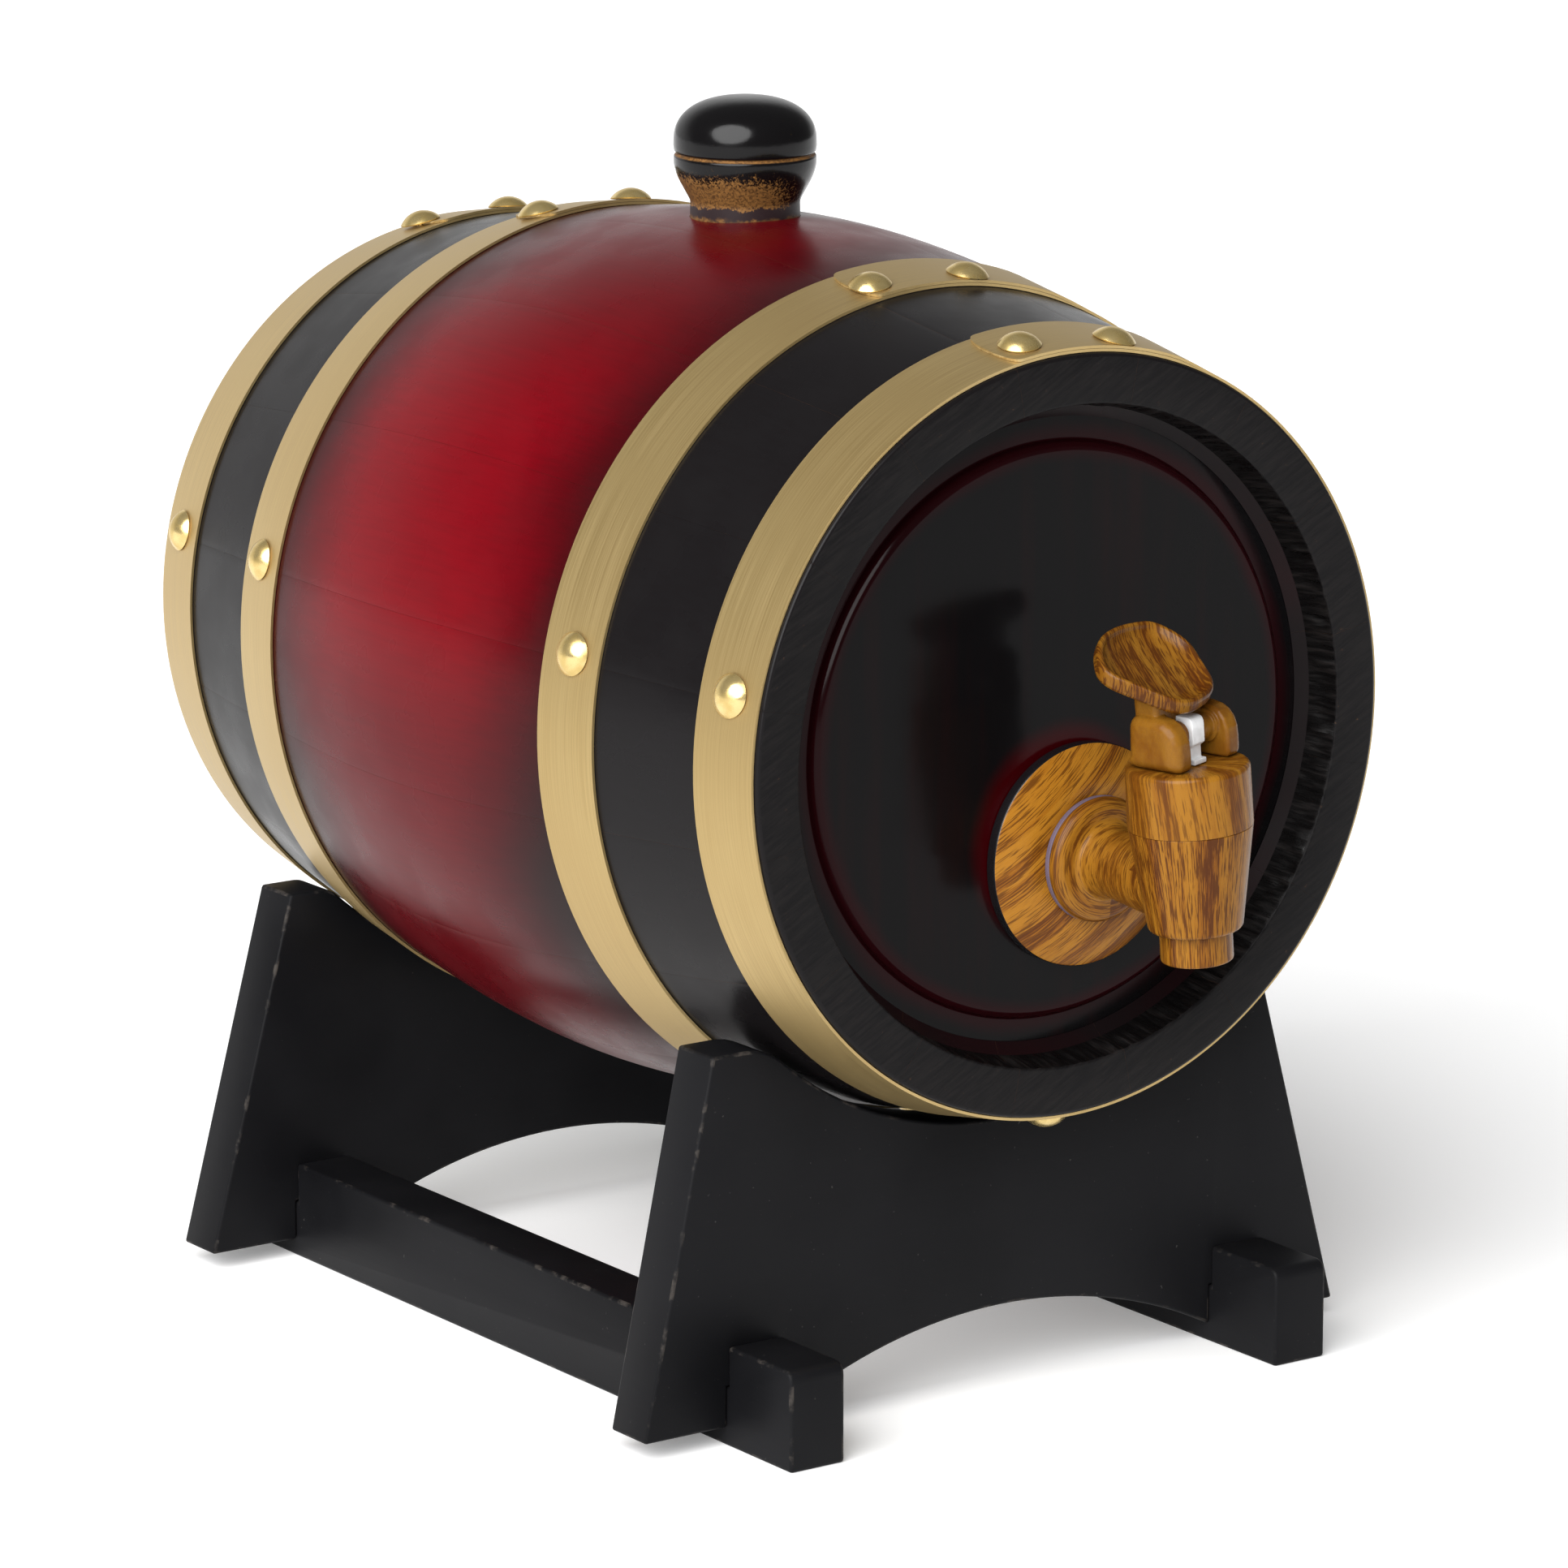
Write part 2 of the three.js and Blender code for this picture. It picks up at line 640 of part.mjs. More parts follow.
// The rubber plug on the stem's foot that closes the spout from above.
function valveSeal() {
  const socket = STEM_RADIUS + GAP;
  const noseDepth = 1.7;
  const noseRadius = SPOUT_BORE - 0.5;
  const discRadius = 7.4;
  const discTop = SEAT_Z + 3.3;
  const sleeveRadius = 4.0;
  const sleeveTop = SEAT_Z + 7.5;
  const outline = points(
    [0, SEAT_Z - noseDepth],
    [noseRadius - 0.4, SEAT_Z - noseDepth],
    [noseRadius, SEAT_Z + GAP],
    [discRadius, SEAT_Z + GAP],
    [discRadius, discTop],
    [sleeveRadius, discTop],
    [sleeveRadius, sleeveTop],
    [socket, sleeveTop],
    [socket, STEM_FOOT - GAP],
    [0, STEM_FOOT - GAP],
  );
  return geometryOf(solid(turnedZ(outline, 24)));
}

// The stem: a rod with a spring collar, and on top a flat tongue that carries the axle.
function tapStem() {
  const collar = 5.5;
  const collarBottom = STEM_COLLAR_TOP - 1.6;
  const rod = points(
    [0, STEM_FOOT],
    [STEM_RADIUS, STEM_FOOT],
    [STEM_RADIUS, collarBottom],
    [collar, collarBottom],
    [collar, STEM_COLLAR_TOP],
    [STEM_RADIUS, STEM_COLLAR_TOP],
    [STEM_RADIUS, BONNET_TOP + 1],
    [0, BONNET_TOP + 1],
  );
  const bottom = BONNET_TOP + GAP;
  const top = BONNET_TOP + PIVOT_HEIGHT + 3.8;
  const back = 3.8;
  const front = -4.5;
  const waist = -3.0; // the front edge between the sole and the head of the tongue
  const sole = 1.2;
  const corner = 1.5;
  const tongue = new THREE.Shape();
  tongue.moveTo(front - 0.3, bottom);
  tongue.lineTo(back, bottom);
  tongue.lineTo(back, top - corner);
  tongue.absarc(back - corner, top - corner, corner, 0, Math.PI / 2, false);
  tongue.absarc(front + corner, top - corner, corner, Math.PI / 2, Math.PI, false);
  tongue.lineTo(front, bottom + sole + 3);
  tongue.lineTo(waist, bottom + sole + 3);
  tongue.lineTo(waist, bottom + sole);
  tongue.lineTo(front - 0.3, bottom + sole);
  const axleEnd = BLIND_HOLE_END - 0.4;
  const axle = rodX(AXLE_RADIUS, -axleEnd, axleEnd, 16);
  axle.translate(0, 0, BONNET_TOP + PIVOT_HEIGHT);
  return join(turnedZ(rod, 20), plateYZ(tongue, -TONGUE_HALF, TONGUE_HALF), axle);
}

// The cam under an ear keeps its distance from the bonnet while the lever turns and lifts
// the stem by CAM_RISE for each radian: the rim of a rolling involute, seen from the axle.
function camRim() {
  const clearance = 0.2;
  const rest = PIVOT_HEIGHT - clearance;
  return [0, 0.25, 0.5, 0.75, 1].map((part) => {
    const angle = part * LEVER_TRAVEL;
    const reach = rest + CAM_RISE * angle;
    return new THREE.Vector2(
      reach * Math.sin(angle) + CAM_RISE * Math.cos(angle),
      CAM_RISE * Math.sin(angle) - reach * Math.cos(angle),
    );
  });
}

// An ear's outline in Y and Z about the axle: a round front, the cam below, and a square
// back that rises into the neck.
function ear() {
  const front = -6;
  const round = 5.4;
  const toe = 1.5;
  const back = 10;
  const top = 4.8;
  const neckTop = 7.4;
  const rim = camRim();
  const bottom = rim[0].y;
  const shape = new THREE.Shape();
  shape.moveTo(front + toe, bottom);
  rim.forEach((p) => shape.lineTo(p.x, p.y));
  shape.lineTo(back, -5);
  shape.lineTo(back, 5);
  shape.lineTo(back - 1.4, neckTop);
  shape.lineTo(2, neckTop);
  shape.lineTo(1, top);
  shape.lineTo(front + round, top);
  shape.absarc(front + round, top - round, round, Math.PI / 2, Math.PI, false);
  shape.absarc(front + toe, bottom + toe, toe, Math.PI, 1.5 * Math.PI, false);
  return shape;
}

// The thumb paddle: an egg-shaped spoon, narrow over the axle and wide behind.
function paddle() {
  const slope = THREE.MathUtils.degToRad(30);
  const frontEdge = { y: -3.2, z: 5.4 };
  const frontRadius = 6.5;
  const halfWidth = 12.5;
  const cornerRadius = 6;
  const length = 24;
  const thickness = 3.6;
  const shape = new THREE.Shape();
  shape.absarc(0, frontRadius, frontRadius, Math.PI, 2 * Math.PI, false);
  shape.absarc(halfWidth - cornerRadius, length - cornerRadius, cornerRadius, 0, Math.PI / 2, false);
  shape.absarc(cornerRadius - halfWidth, length - cornerRadius, cornerRadius, Math.PI / 2, Math.PI, false);
  const options = { depth: thickness, bevelEnabled: false, curveSegments: 7 };
  const slab = new THREE.ExtrudeGeometry(shape, options);
  const dish = new THREE.SphereGeometry(1, 24, 16)
    .scale(halfWidth - 3.1, length / 2 - 0.8, 5)
    .translate(0, length / 2 + 1.4, thickness + 3.4);
  return cut(slab, dish).rotateX(slope).translate(0, frontEdge.y, frontEdge.z);
}

// The lever, about its own axle: two ears with blind axle holes, a neck and the paddle.
function tapLever() {
  const neckHalf = 8.6;
  const neckBack = 9.2;
  const neck = new THREE.Shape(points([2, 6.3], [neckBack, 6.3], [neckBack, 13.2], [1, 8.5]));
  const bossRadius = 3.4;
  const bossFoot = EAR_INNER + 0.5; // inside the ear it stands on
  const bossFace = TONGUE_HALF + GAP;
  const ears = [
    plateYZ(ear(), -EAR_OUTER, -EAR_INNER),
    plateYZ(ear(), EAR_INNER, EAR_OUTER),
    rodX(bossRadius, -bossFoot, -bossFace, 16),
    rodX(bossRadius, bossFace, bossFoot, 16),
  ];
  const lever = join(...ears, plateYZ(neck, -neckHalf, neckHalf), paddle());
  return cut(lever, rodX(AXLE_RADIUS + GAP, -BLIND_HOLE_END, BLIND_HOLE_END, 16));
}

// The return spring between the stem's collar and the bonnet.
function tapSpring() {
  const wireRadius = 0.5;
  const coilRadius = 4.6;
  const turns = 4;
  const bottom = STEM_COLLAR_TOP + GAP + wireRadius;
  const top = BONNET_UNDERSIDE - GAP - wireRadius;
  class Helix extends THREE.Curve {
    getPoint(t, target = new THREE.Vector3()) {
      const angle = 2 * Math.PI * turns * t;
      const height = bottom + (top - bottom) * t;
      return target.set(coilRadius * Math.cos(angle), coilRadius * Math.sin(angle), height);
    }
  }
  const wire = new THREE.Shape().absarc(0, 0, wireRadius, 0, 2 * Math.PI, false);
  return new THREE.ExtrudeGeometry(wire, {
    steps: 12 * turns,
    curveSegments: 3,
    extrudePath: new Helix(),
  });
}

// ---------------------------------------------------------------- assembly

const barrel = new THREE.Group();
const spots = HOOPS.flatMap(({ y, lapTacks }) => tackSpots(y, lapTacks));
const tackHoles = spots.map(tackHole);

for (let number = 1; number <= STAVES; number++) {
  const top = number === 1;
  const name = top ? "bung_stave" : `stave_${String(number).padStart(2, "0")}`;
  const tools = top ? [...tackHoles, bungHole()] : tackHoles;
  barrel.add(piece(name, cut(stave(number), ...tools), RED_OAK));
}

barrel.add(piece("front_head", cut(head().rotateZ(Math.PI), shankHole()), BLACK_LACQUER));
barrel.add(piece("rear_head", geometryOf(solid(head())), BLACK_LACQUER));

for (const { name, y, lapTacks } of HOOPS) {
  barrel.add(piece(`${name}_hoop`, cut(hoop(y), ...tackHoles), BRASS));
  tackSpots(y, lapTacks).forEach((spot, i) => {
    const layers = spot.lapped ? 2 * HOOP_THICKNESS + LAP_AIR : HOOP_THICKNESS;
    const tack = piece(`${name}_tack_${i + 1}`, tackGeometry(), BRASS);
    barrel.add(standOnStave(tack, spot, layers + 2 * GAP));
  });
}

const bungPiece = piece("bung", bung(), BUNG_WOOD);
bungPiece.position.set(0, BUNG_Y, AXIS_Z + BILGE_RADIUS);
barrel.add(bungPiece);

const stand = new THREE.Group();
for (const [name, plate] of [["front_cradle_plate", FRONT_PLATE], ["rear_cradle_plate", REAR_PLATE]]) {
  const mesh = piece(name, cradlePlate(plate), STAND_WOOD);
  mesh.position.y = plate.y;
  stand.add(mesh);
}
for (const [name, x] of [["left_rail", -RAIL_X], ["right_rail", RAIL_X]]) {
  const mesh = piece(name, rail(), STAND_WOOD);
  mesh.position.x = x;
  stand.add(mesh);
}

const tap = new THREE.Group();
tap.position.set(TAP_X, TAP_Y, AXIS_Z - TAP_BELOW_AXIS);
tap.rotation.y = THREE.MathUtils.degToRad(-TAP_LEAN);
tap.add(
  piece("tap_backplate", tapBackplate(), WOODGRAIN_PLASTIC),
  piece("tap_flange_washer", washer(FLANGE_RADIUS, FLANGE_BACK + 0.2, PLATE_FRONT - 0.2), RUBBER),
  piece("tap_body", tapBody(), WOODGRAIN_PLASTIC),
  piece("tap_bonnet", tapBonnet(), WOODGRAIN_PLASTIC),
  piece("tap_inner_washer", washer(INNER_WASHER_RADIUS, HEAD_INSIDE, INNER_WASHER_END), RUBBER),
  piece("tap_lock_nut", lockNut(), WHITE_PLASTIC),
  piece("tap_spring", tapSpring(), SPRING_STEEL),
);

const swivel = new THREE.Group();
swivel.rotation.z = THREE.MathUtils.degToRad(LEVER_SWIVEL);
const lever = piece("tap_lever", tapLever(), WOODGRAIN_PLASTIC);
lever.position.z = BONNET_TOP + PIVOT_HEIGHT;
swivel.add(
  piece("tap_stem", tapStem(), WHITE_PLASTIC),
  piece("tap_valve_seal", valveSeal(), RUBBER),
  lever,
);
tap.add(swivel);

const model = new THREE.Group();
model.add(stand, barrel, tap);
const frontReach = TAP_Y - BODY_TOP_RADIUS;
model.position.y = -(frontReach + HALF_LENGTH) / 2;

export default model;
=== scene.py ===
"""The looks of a small oak wine barrel with a lever tap, in its black wooden cradle.

Blender 4.5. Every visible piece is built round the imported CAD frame, in metres, +Z up,
barrel axis along Y, tap end towards -Y.
"""

import math

import bmesh
import bpy
from mathutils import Matrix, Vector, noise


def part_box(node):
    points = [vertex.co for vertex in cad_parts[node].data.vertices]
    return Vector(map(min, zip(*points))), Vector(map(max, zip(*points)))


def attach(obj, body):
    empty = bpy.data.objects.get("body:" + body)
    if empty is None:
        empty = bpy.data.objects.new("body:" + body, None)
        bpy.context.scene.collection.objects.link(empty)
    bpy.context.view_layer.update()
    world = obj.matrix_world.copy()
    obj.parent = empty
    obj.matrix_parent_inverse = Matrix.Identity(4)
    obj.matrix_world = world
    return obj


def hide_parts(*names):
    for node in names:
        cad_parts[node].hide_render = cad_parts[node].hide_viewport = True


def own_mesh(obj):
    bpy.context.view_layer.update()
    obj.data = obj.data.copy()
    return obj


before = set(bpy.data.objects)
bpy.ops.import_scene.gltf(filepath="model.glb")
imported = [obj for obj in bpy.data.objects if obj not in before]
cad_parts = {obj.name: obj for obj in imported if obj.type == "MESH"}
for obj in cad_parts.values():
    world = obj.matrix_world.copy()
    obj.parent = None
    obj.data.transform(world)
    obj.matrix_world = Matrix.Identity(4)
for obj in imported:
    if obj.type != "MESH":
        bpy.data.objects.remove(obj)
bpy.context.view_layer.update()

# ------------ places and sizes

MM = 0.001


def middle(node):
    low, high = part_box(node)
    return (low + high) / 2


def size(node):
    low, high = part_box(node)
    return high - low


BARREL_MIDDLE = middle("bung_stave").y
HALF_LENGTH = size("bung_stave").y / 2
AXIS_Z = middle("front_head").z

END_RADIUS = 85 * MM
BILGE_RADIUS = 100.8 * MM
END_RADIUS_INSIDE = 67.3 * MM
BILGE_RADIUS_INSIDE = 86.8 * MM
BOW_SOFTNESS = 42 * MM
STAVES = 16
HALF_STEPS = 22

HEAD_FACE = 113.0 * MM
DISC_FACE = 115.5 * MM
DISC_RADIUS = 64.4 * MM
HEAD_BACK = 103.5 * MM
HEAD_RIM_RADIUS = 74.0 * MM
HEAD_RIM_BACK = 106.0 * MM
GROOVE_BACK = 105.7 * MM
GROOVE_RADIUS = 74.5 * MM
CHIME_BORE_RADIUS = 74.1 * MM
SAW_BEVEL_RADIUS = 72.7 * MM
SAW_BEVEL_FACE = 115.1 * MM
GROOVE_LIP_RADIUS = 70.0 * MM

HOOP_THICKNESS = 0.65 * MM
HOOP_LIFT = 0.15 * MM
HOOP_LAP_LIFT = 0.86 * MM
TACK_RADIUS = 4.9 * MM
TACK_HEIGHT = 2.5 * MM

BUNG_BASE = Vector((0, middle("bung").y, AXIS_Z + BILGE_RADIUS))

TAP_ORIGIN = Vector((7 * MM, BARREL_MIDDLE - 157 * MM, AXIS_Z - 28 * MM))
TAP_LEAN = math.radians(4.4)
LEVER_SWIVEL = math.radians(12)
PRESS_LIMIT = math.radians(25)
PADDLE_TILT = math.radians(30)
PADDLE_TURN = math.radians(9)
PADDLE_FOOT = Vector((0, -3.2 * MM, 5.3 * MM))
DISC_FROM_TAP = 41.5  # mm, from the tap's axis to the head's disc
PIVOT_Z = 35.2 * MM
BONNET_TOP = 28.2 * MM
SPRING_FOOT = 10.4 * MM
SPRING_TOP = 23.8 * MM
SPRING_RADIUS = 4.6 * MM
SPRING_WIRE = 0.5 * MM
SPRING_TURNS = 4

TAP_FRAME = Matrix.Translation(TAP_ORIGIN) @ Matrix.Rotation(-TAP_LEAN, 4, "Y")
STEM_FRAME = TAP_FRAME @ Matrix.Rotation(LEVER_SWIVEL, 4, "Z")
LEVER_FRAME = STEM_FRAME @ Matrix.Translation((0, 0, PIVOT_Z))

# ------------ mesh helpers


def mm(*rows):
    """Rows of numbers in millimetres, as tuples in metres."""
    return [tuple(value * MM for value in row) for row in rows]


def rounded(outline, closed=False, steps=5):
    """The outline with each (x, y, radius) corner eased; (x, y) corners stay sharp."""
    count = len(outline)
    spots = [Vector(corner[:2]) for corner in outline]
    radii = [corner[2] if len(corner) > 2 else 0 for corner in outline]
    result = []
    for i, at in enumerate(spots):
        ends = []
        for j in (i - 1, (i + 1) % count):
            away = spots[j] - at
            room = away.length * radii[i] / max(radii[i] + radii[j], 1e-9)
            ends.append(at + away.normalized() * min(radii[i], room))
        if not radii[i] or (not closed and i in (0, count - 1)):
            result.append(tuple(at))
            continue
        for step in range(steps + 1):
            t = step / steps
            result.append(tuple(ends[0] * (1 - t) ** 2 + at * 2 * t * (1 - t) + ends[1] * t**2))
    return result


def mesh_piece(name, verts, faces):
    """An object with these points and faces, its faces turned outwards."""
    mesh = bpy.data.meshes.new(name)
    mesh.from_pydata([tuple(v) for v in verts], [], faces)
    bm = bmesh.new()
    bm.from_mesh(mesh)
    bmesh.ops.recalc_face_normals(bm, faces=bm.faces)
    bm.to_mesh(mesh)
    bm.free()
    piece = bpy.data.objects.new(name, mesh)
    bpy.context.scene.collection.objects.link(piece)
    return piece


def smooth(piece, angle=35):
    """Smooth shading, with edges sharper than the angle in degrees left sharp."""
    piece.data.polygons.foreach_set("use_smooth", [True] * len(piece.data.polygons))
    piece.data.set_sharp_from_angle(angle=math.radians(angle))
    return piece


def lathe(name, outline, axis="Z", segments=96, closed=False):
    """Turns an outline of (radius, along) about an axis through the origin."""
    verts, rings, faces = [], [], []
    for radius, along in outline:
        count = segments if radius > 1e-7 else 1
        rings.append(range(len(verts), len(verts) + count))
        for i in range(count):
            angle = 2 * math.pi * i / segments
            x, y = radius * math.cos(angle), radius * math.sin(angle)
            verts.append((x, y, along) if axis == "Z" else (x, along, -y))
    pairs = list(zip(rings, rings[1:]))
    if closed:
        pairs.append((rings[-1], rings[0]))
    for a, b in pairs:
        if len(a) == 1 and len(b) == 1:
            continue
        for i in range(segments):
            j = (i + 1) % segments
            corners = [a[i % len(a)], a[j % len(a)], b[j % len(b)], b[i % len(b)]]
            faces.append(list(dict.fromkeys(corners)))
    return mesh_piece(name, verts, faces)


def loft(name, count, places):
    """Skins a chain of sections of `count` points each, and closes both ends."""
    verts = [point for section in places for point in section]
    faces = []
    for base in range(0, (len(places) - 1) * count, count):
        for i in range(count):
            j = (i + 1) % count
            faces.append((base + i, base + j, base + count + j, base + count + i))
    last = (len(places) - 1) * count
    faces.append(tuple(range(count)))
    faces.append(tuple(range(last, last + count)))
    return mesh_piece(name, verts, faces)


def extrude(name, outline, start, end, to_space):
    """A plate cut to an outline, from depth start to end; to_space(x, y, depth) places it."""
    sections = [[to_space(x, y, depth) for x, y in outline] for depth in (start, end)]
    return loft(name, len(outline), sections)


def moulded(name, outline, profile, to_space):
    """A plate whose outline shrinks by `inset` at each `depth` of its (inset, depth) profile."""
    xs, ys = zip(*outline)
    centre = Vector((min(xs) + max(xs), min(ys) + max(ys))) / 2
    half = min(max(xs) - min(xs), max(ys) - min(ys)) / 2
    sections = []
    for inset, depth in profile:
        scale = 1 - inset / half
        shrunk = [centre + (Vector(point) - centre) * scale for point in outline]
        sections.append([to_space(x, y, depth) for x, y in shrunk])
    return loft(name, len(outline), sections)


def rounded_over(start, end, ease, steps=6):
    """The profile of a plate from start to end with both faces' edges rounded over."""
    turns = [math.pi / 2 * i / steps for i in range(steps + 1)]
    near = [(ease * (1 - math.sin(t)), start + ease * (1 - math.cos(t))) for t in turns]
    return near + [(inset, start + end - depth) for inset, depth in reversed(near)]


def join(pieces):
    """Gathers several closed shells into the first one's mesh."""
    bm = bmesh.new()
    for piece in pieces:
        bm.from_mesh(piece.data)
    bm.to_mesh(pieces[0].data)
    bm.free()
    for piece in pieces[1:]:
        bpy.data.objects.remove(piece)
    return pieces[0]


def apply_modifiers(piece):
    """Turns the piece's modifiers into its mesh."""
    graph = bpy.context.evaluated_depsgraph_get()
    mesh = bpy.data.meshes.new_from_object(piece.evaluated_get(graph))
    piece.modifiers.clear()
    piece.data = mesh
    return piece


def combine(piece, tool, operation="DIFFERENCE"):
    """Cuts the tool out of the piece, or joins it on by "UNION"; the tool is used up."""
    modifier = piece.modifiers.new("combine", "BOOLEAN")
    modifier.object = tool
    modifier.operation = operation
    modifier.solver = "EXACT"
    apply_modifiers(piece)
    bpy.data.objects.remove(tool)
    return piece


def bevel(piece, width, segments=3, angle=35, material=-1):
    """Rounds edges sharper than the angle; material -1 keeps the faces' own materials."""
    modifier = piece.modifiers.new("bevel", "BEVEL")
    modifier.width = width
    modifier.segments = segments
    modifier.limit_method = "ANGLE"
    modifier.angle_limit = math.radians(angle)
    modifier.material = material
    return apply_modifiers(piece)


def remesh(piece, voxel, rounds):
    """Melts joined solids into one moulded skin, then softens it."""
    modifier = piece.modifiers.new("remesh", "REMESH")
    modifier.mode = "VOXEL"
    modifier.voxel_size = voxel
    apply_modifiers(piece)
    modifier = piece.modifiers.new("soften", "SMOOTH")
    modifier.factor = 0.5
    modifier.iterations = rounds
    return apply_modifiers(piece)


def show(piece, body, nodes, materials, chooser=None):
    """Puts a finished piece on its body, in place of its CAD nodes, with its materials."""
    for material in materials:
        piece.data.materials.append(material)
    if chooser:
        indices = [chooser(polygon.center) for polygon in piece.data.polygons]
        piece.data.polygons.foreach_set("material_index", indices)
    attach(piece, body)
    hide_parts(*nodes)
    return piece


# ------------ material helpers


def srgb(red, green, blue):
    """A colour given as 0-255 display values, in linear light."""

    def linear(value):
        value /= 255
        return value / 12.92 if value <= 0.04045 else ((value + 0.055) / 1.055) ** 2.4

    return (linear(red), linear(green), linear(blue), 1)


class Paint:
    """One procedural material, with short names for the nodes it is made of."""

    def __init__(self, name, **constants):
        self.material = bpy.data.materials.new(name)
        self.material.use_nodes = True
        self.tree = self.material.node_tree
        self.shader = self.tree.nodes["Principled BSDF"]
        for socket, value in constants.items():
            self.shader.inputs[socket.replace("_", " ")].default_value = value

    def node(self, kind, settings=None, **inputs):
        made = self.tree.nodes.new("ShaderNode" + kind)
        for key, value in (settings or {}).items():
            setattr(made, key, value)
        for key, value in inputs.items():
            self.set(made.inputs[key.replace("_", " ")], value)
        return made

    def set(self, socket, value):
        if isinstance(value, bpy.types.NodeSocket):
            self.tree.links.new(value, socket)
        else:
            socket.default_value = value

    def position(self):
        return self.node("TexCoord").outputs["Object"]

    def scaled(self, vector, scale, rotation=(0, 0, 0)):
        turned = self.node("Mapping", Vector=vector, Rotation=rotation).outputs[0]
        return self.node("Mapping", Vector=turned, Scale=scale).outputs[0]

    def noise(self, vector, scale=1.0, detail=3.0, roughness=0.5, distortion=0.0):
        shape = {"Scale": scale, "Detail": detail, "Roughness": roughness, "Distortion": distortion}
        return self.node("TexNoise", Vector=vector, **shape).outputs["Fac"]

    def math(self, operation, a, b=0.0):
        made = self.node("Math", {"operation": operation})
        self.set(made.inputs[0], a)
        self.set(made.inputs[1], b)
        return made.outputs[0]

    def plus(self, a, b):
        return self.math("ADD", a, b)

    def minus(self, a, b):
        return self.math("SUBTRACT", a, b)

    def times(self, a, b):
        return self.math("MULTIPLY", a, b)

    def sway(self, pattern, amount):
        """A noise pattern as a number either side of nought, amount from end to end."""
        return self.times(self.minus(pattern, 0.5), amount)

    def span(self, value, low, high, to_low=0.0, to_high=1.0):
        """Eases from to_low to to_high as the value goes from low to high, and holds the ends."""
        made = self.node("MapRange", {"interpolation_type": "SMOOTHSTEP"})
        self.set(made.inputs["Value"], value)
        ends = {"From Min": low, "From Max": high, "To Min": to_low, "To Max": to_high}
        for key, number in ends.items():
            made.inputs[key].default_value = number
        return made.outputs["Result"]

    def mix(self, factor, a, b):
        made = self.node("Mix", {"data_type": "RGBA"})
        self.set(made.inputs[0], factor)
        self.set(made.inputs[6], a)
        self.set(made.inputs[7], b)
        return made.outputs[2]

    def axes(self, vector):
        return self.node("SeparateXYZ", Vector=vector).outputs

    def vector(self, x, y, z):
        return self.node("CombineXYZ", X=x, Y=y, Z=z).outputs[0]

    def polar(self, x, z):
        """Angle and radius of a point in a plane."""
        radius = self.math("SQRT", self.plus(self.times(x, x), self.times(z, z)))
        return self.math("ARCTAN2", x, z), radius

    def bump(self, height, distance, strength=1.0):
        made = self.node("Bump", Height=height, Distance=distance, Strength=strength)
        self.tree.links.new(made.outputs[0], self.shader.inputs["Normal"])

    def color(self, value):
        self.set(self.shader.inputs["Base Color"], value)

    def rough(self, pattern, low, high):
        """Roughness from low to high, following a noise pattern."""
        self.set(self.shader.inputs["Roughness"], self.span(pattern, 0.3, 0.7, low, high))


# ------------ materials

RED = srgb(108, 0, 12)
DARK_RED = srgb(60, 2, 7)
BROWN_BLACK = srgb(26, 12, 12)
BLACK = srgb(20, 18, 19)
DASH_SCALE = 3100  # the printed grain's dashes, and the broad bands under them, per metre
BAND_SCALE = 330
# The red is painted brightest on a band this high, where the low light from the left falls full on
# the barrel; painted shade darkens and shortens the red above and below it.
LIT_BAND_HEIGHT = 42 * MM  # the burst is reddest this far above the barrel's axis


def stave_paint():
    """Red burst between the middle hoops, running to black lacquer beyond them; painted shade
    darkens the red towards the top and the underside.
    """
    paint = Paint("stave_paint", Specular_IOR_Level=0.13)
    here = paint.position()
    x, y, z = paint.axes(here)
    along = paint.math("ABSOLUTE", paint.minus(y, BARREL_MIDDLE))
    drift = paint.sway(paint.noise(here, 11, 2), 0.045)
    wander = paint.plus(drift, paint.sway(paint.noise(here, 40, 3), 0.008))
    # Painted shade: the distance from the brightly lit band darkens the red and shortens it along
    # the barrel, on the top and the underside.
    from_lit_band = paint.math("ABSOLUTE", paint.minus(z, AXIS_Z + LIT_BAND_HEIGHT))
    shade_shortening = paint.span(from_lit_band, 0.03, 0.085, 0.0, 0.010)
    from_bung = paint.vector(x, paint.minus(y, BUNG_BASE.y), 0.0)
    ring = paint.node("VectorMath", {"operation": "LENGTH"})
    paint.tree.links.new(from_bung, ring.inputs[0])
    round_bung = paint.span(ring.outputs["Value"], 0.020, 0.045, -0.024, 0.0)
    spray_and_shade_shift = paint.plus(paint.plus(wander, shade_shortening), round_bung)
    reach = paint.plus(along, spray_and_shade_shift)
    burst = paint.mix(paint.span(reach, 0.020, 0.058), RED, DARK_RED)
    # Painted shade: up to 0.55 of the way to dark red away from the lit band.
    burst = paint.mix(paint.span(from_lit_band, 0.018, 0.055, 0.0, 0.55), burst, DARK_RED)
    burst = paint.mix(paint.span(reach, 0.044, 0.074), burst, BROWN_BLACK)
    burst = paint.mix(paint.span(along, 0.058, 0.068), burst, BLACK)
    grain = paint.noise(paint.scaled(here, (900, 40, 900)), 1, 4, 0.6)
    shade = paint.span(grain, 0.35, 0.7, 0.0, 0.12)
    paint.color(paint.mix(shade, burst, srgb(12, 6, 6)))
    paint.rough(paint.noise(here, 60, 3), 0.24, 0.34)
    paint.bump(grain, 0.00003, 0.15)
    return paint.material


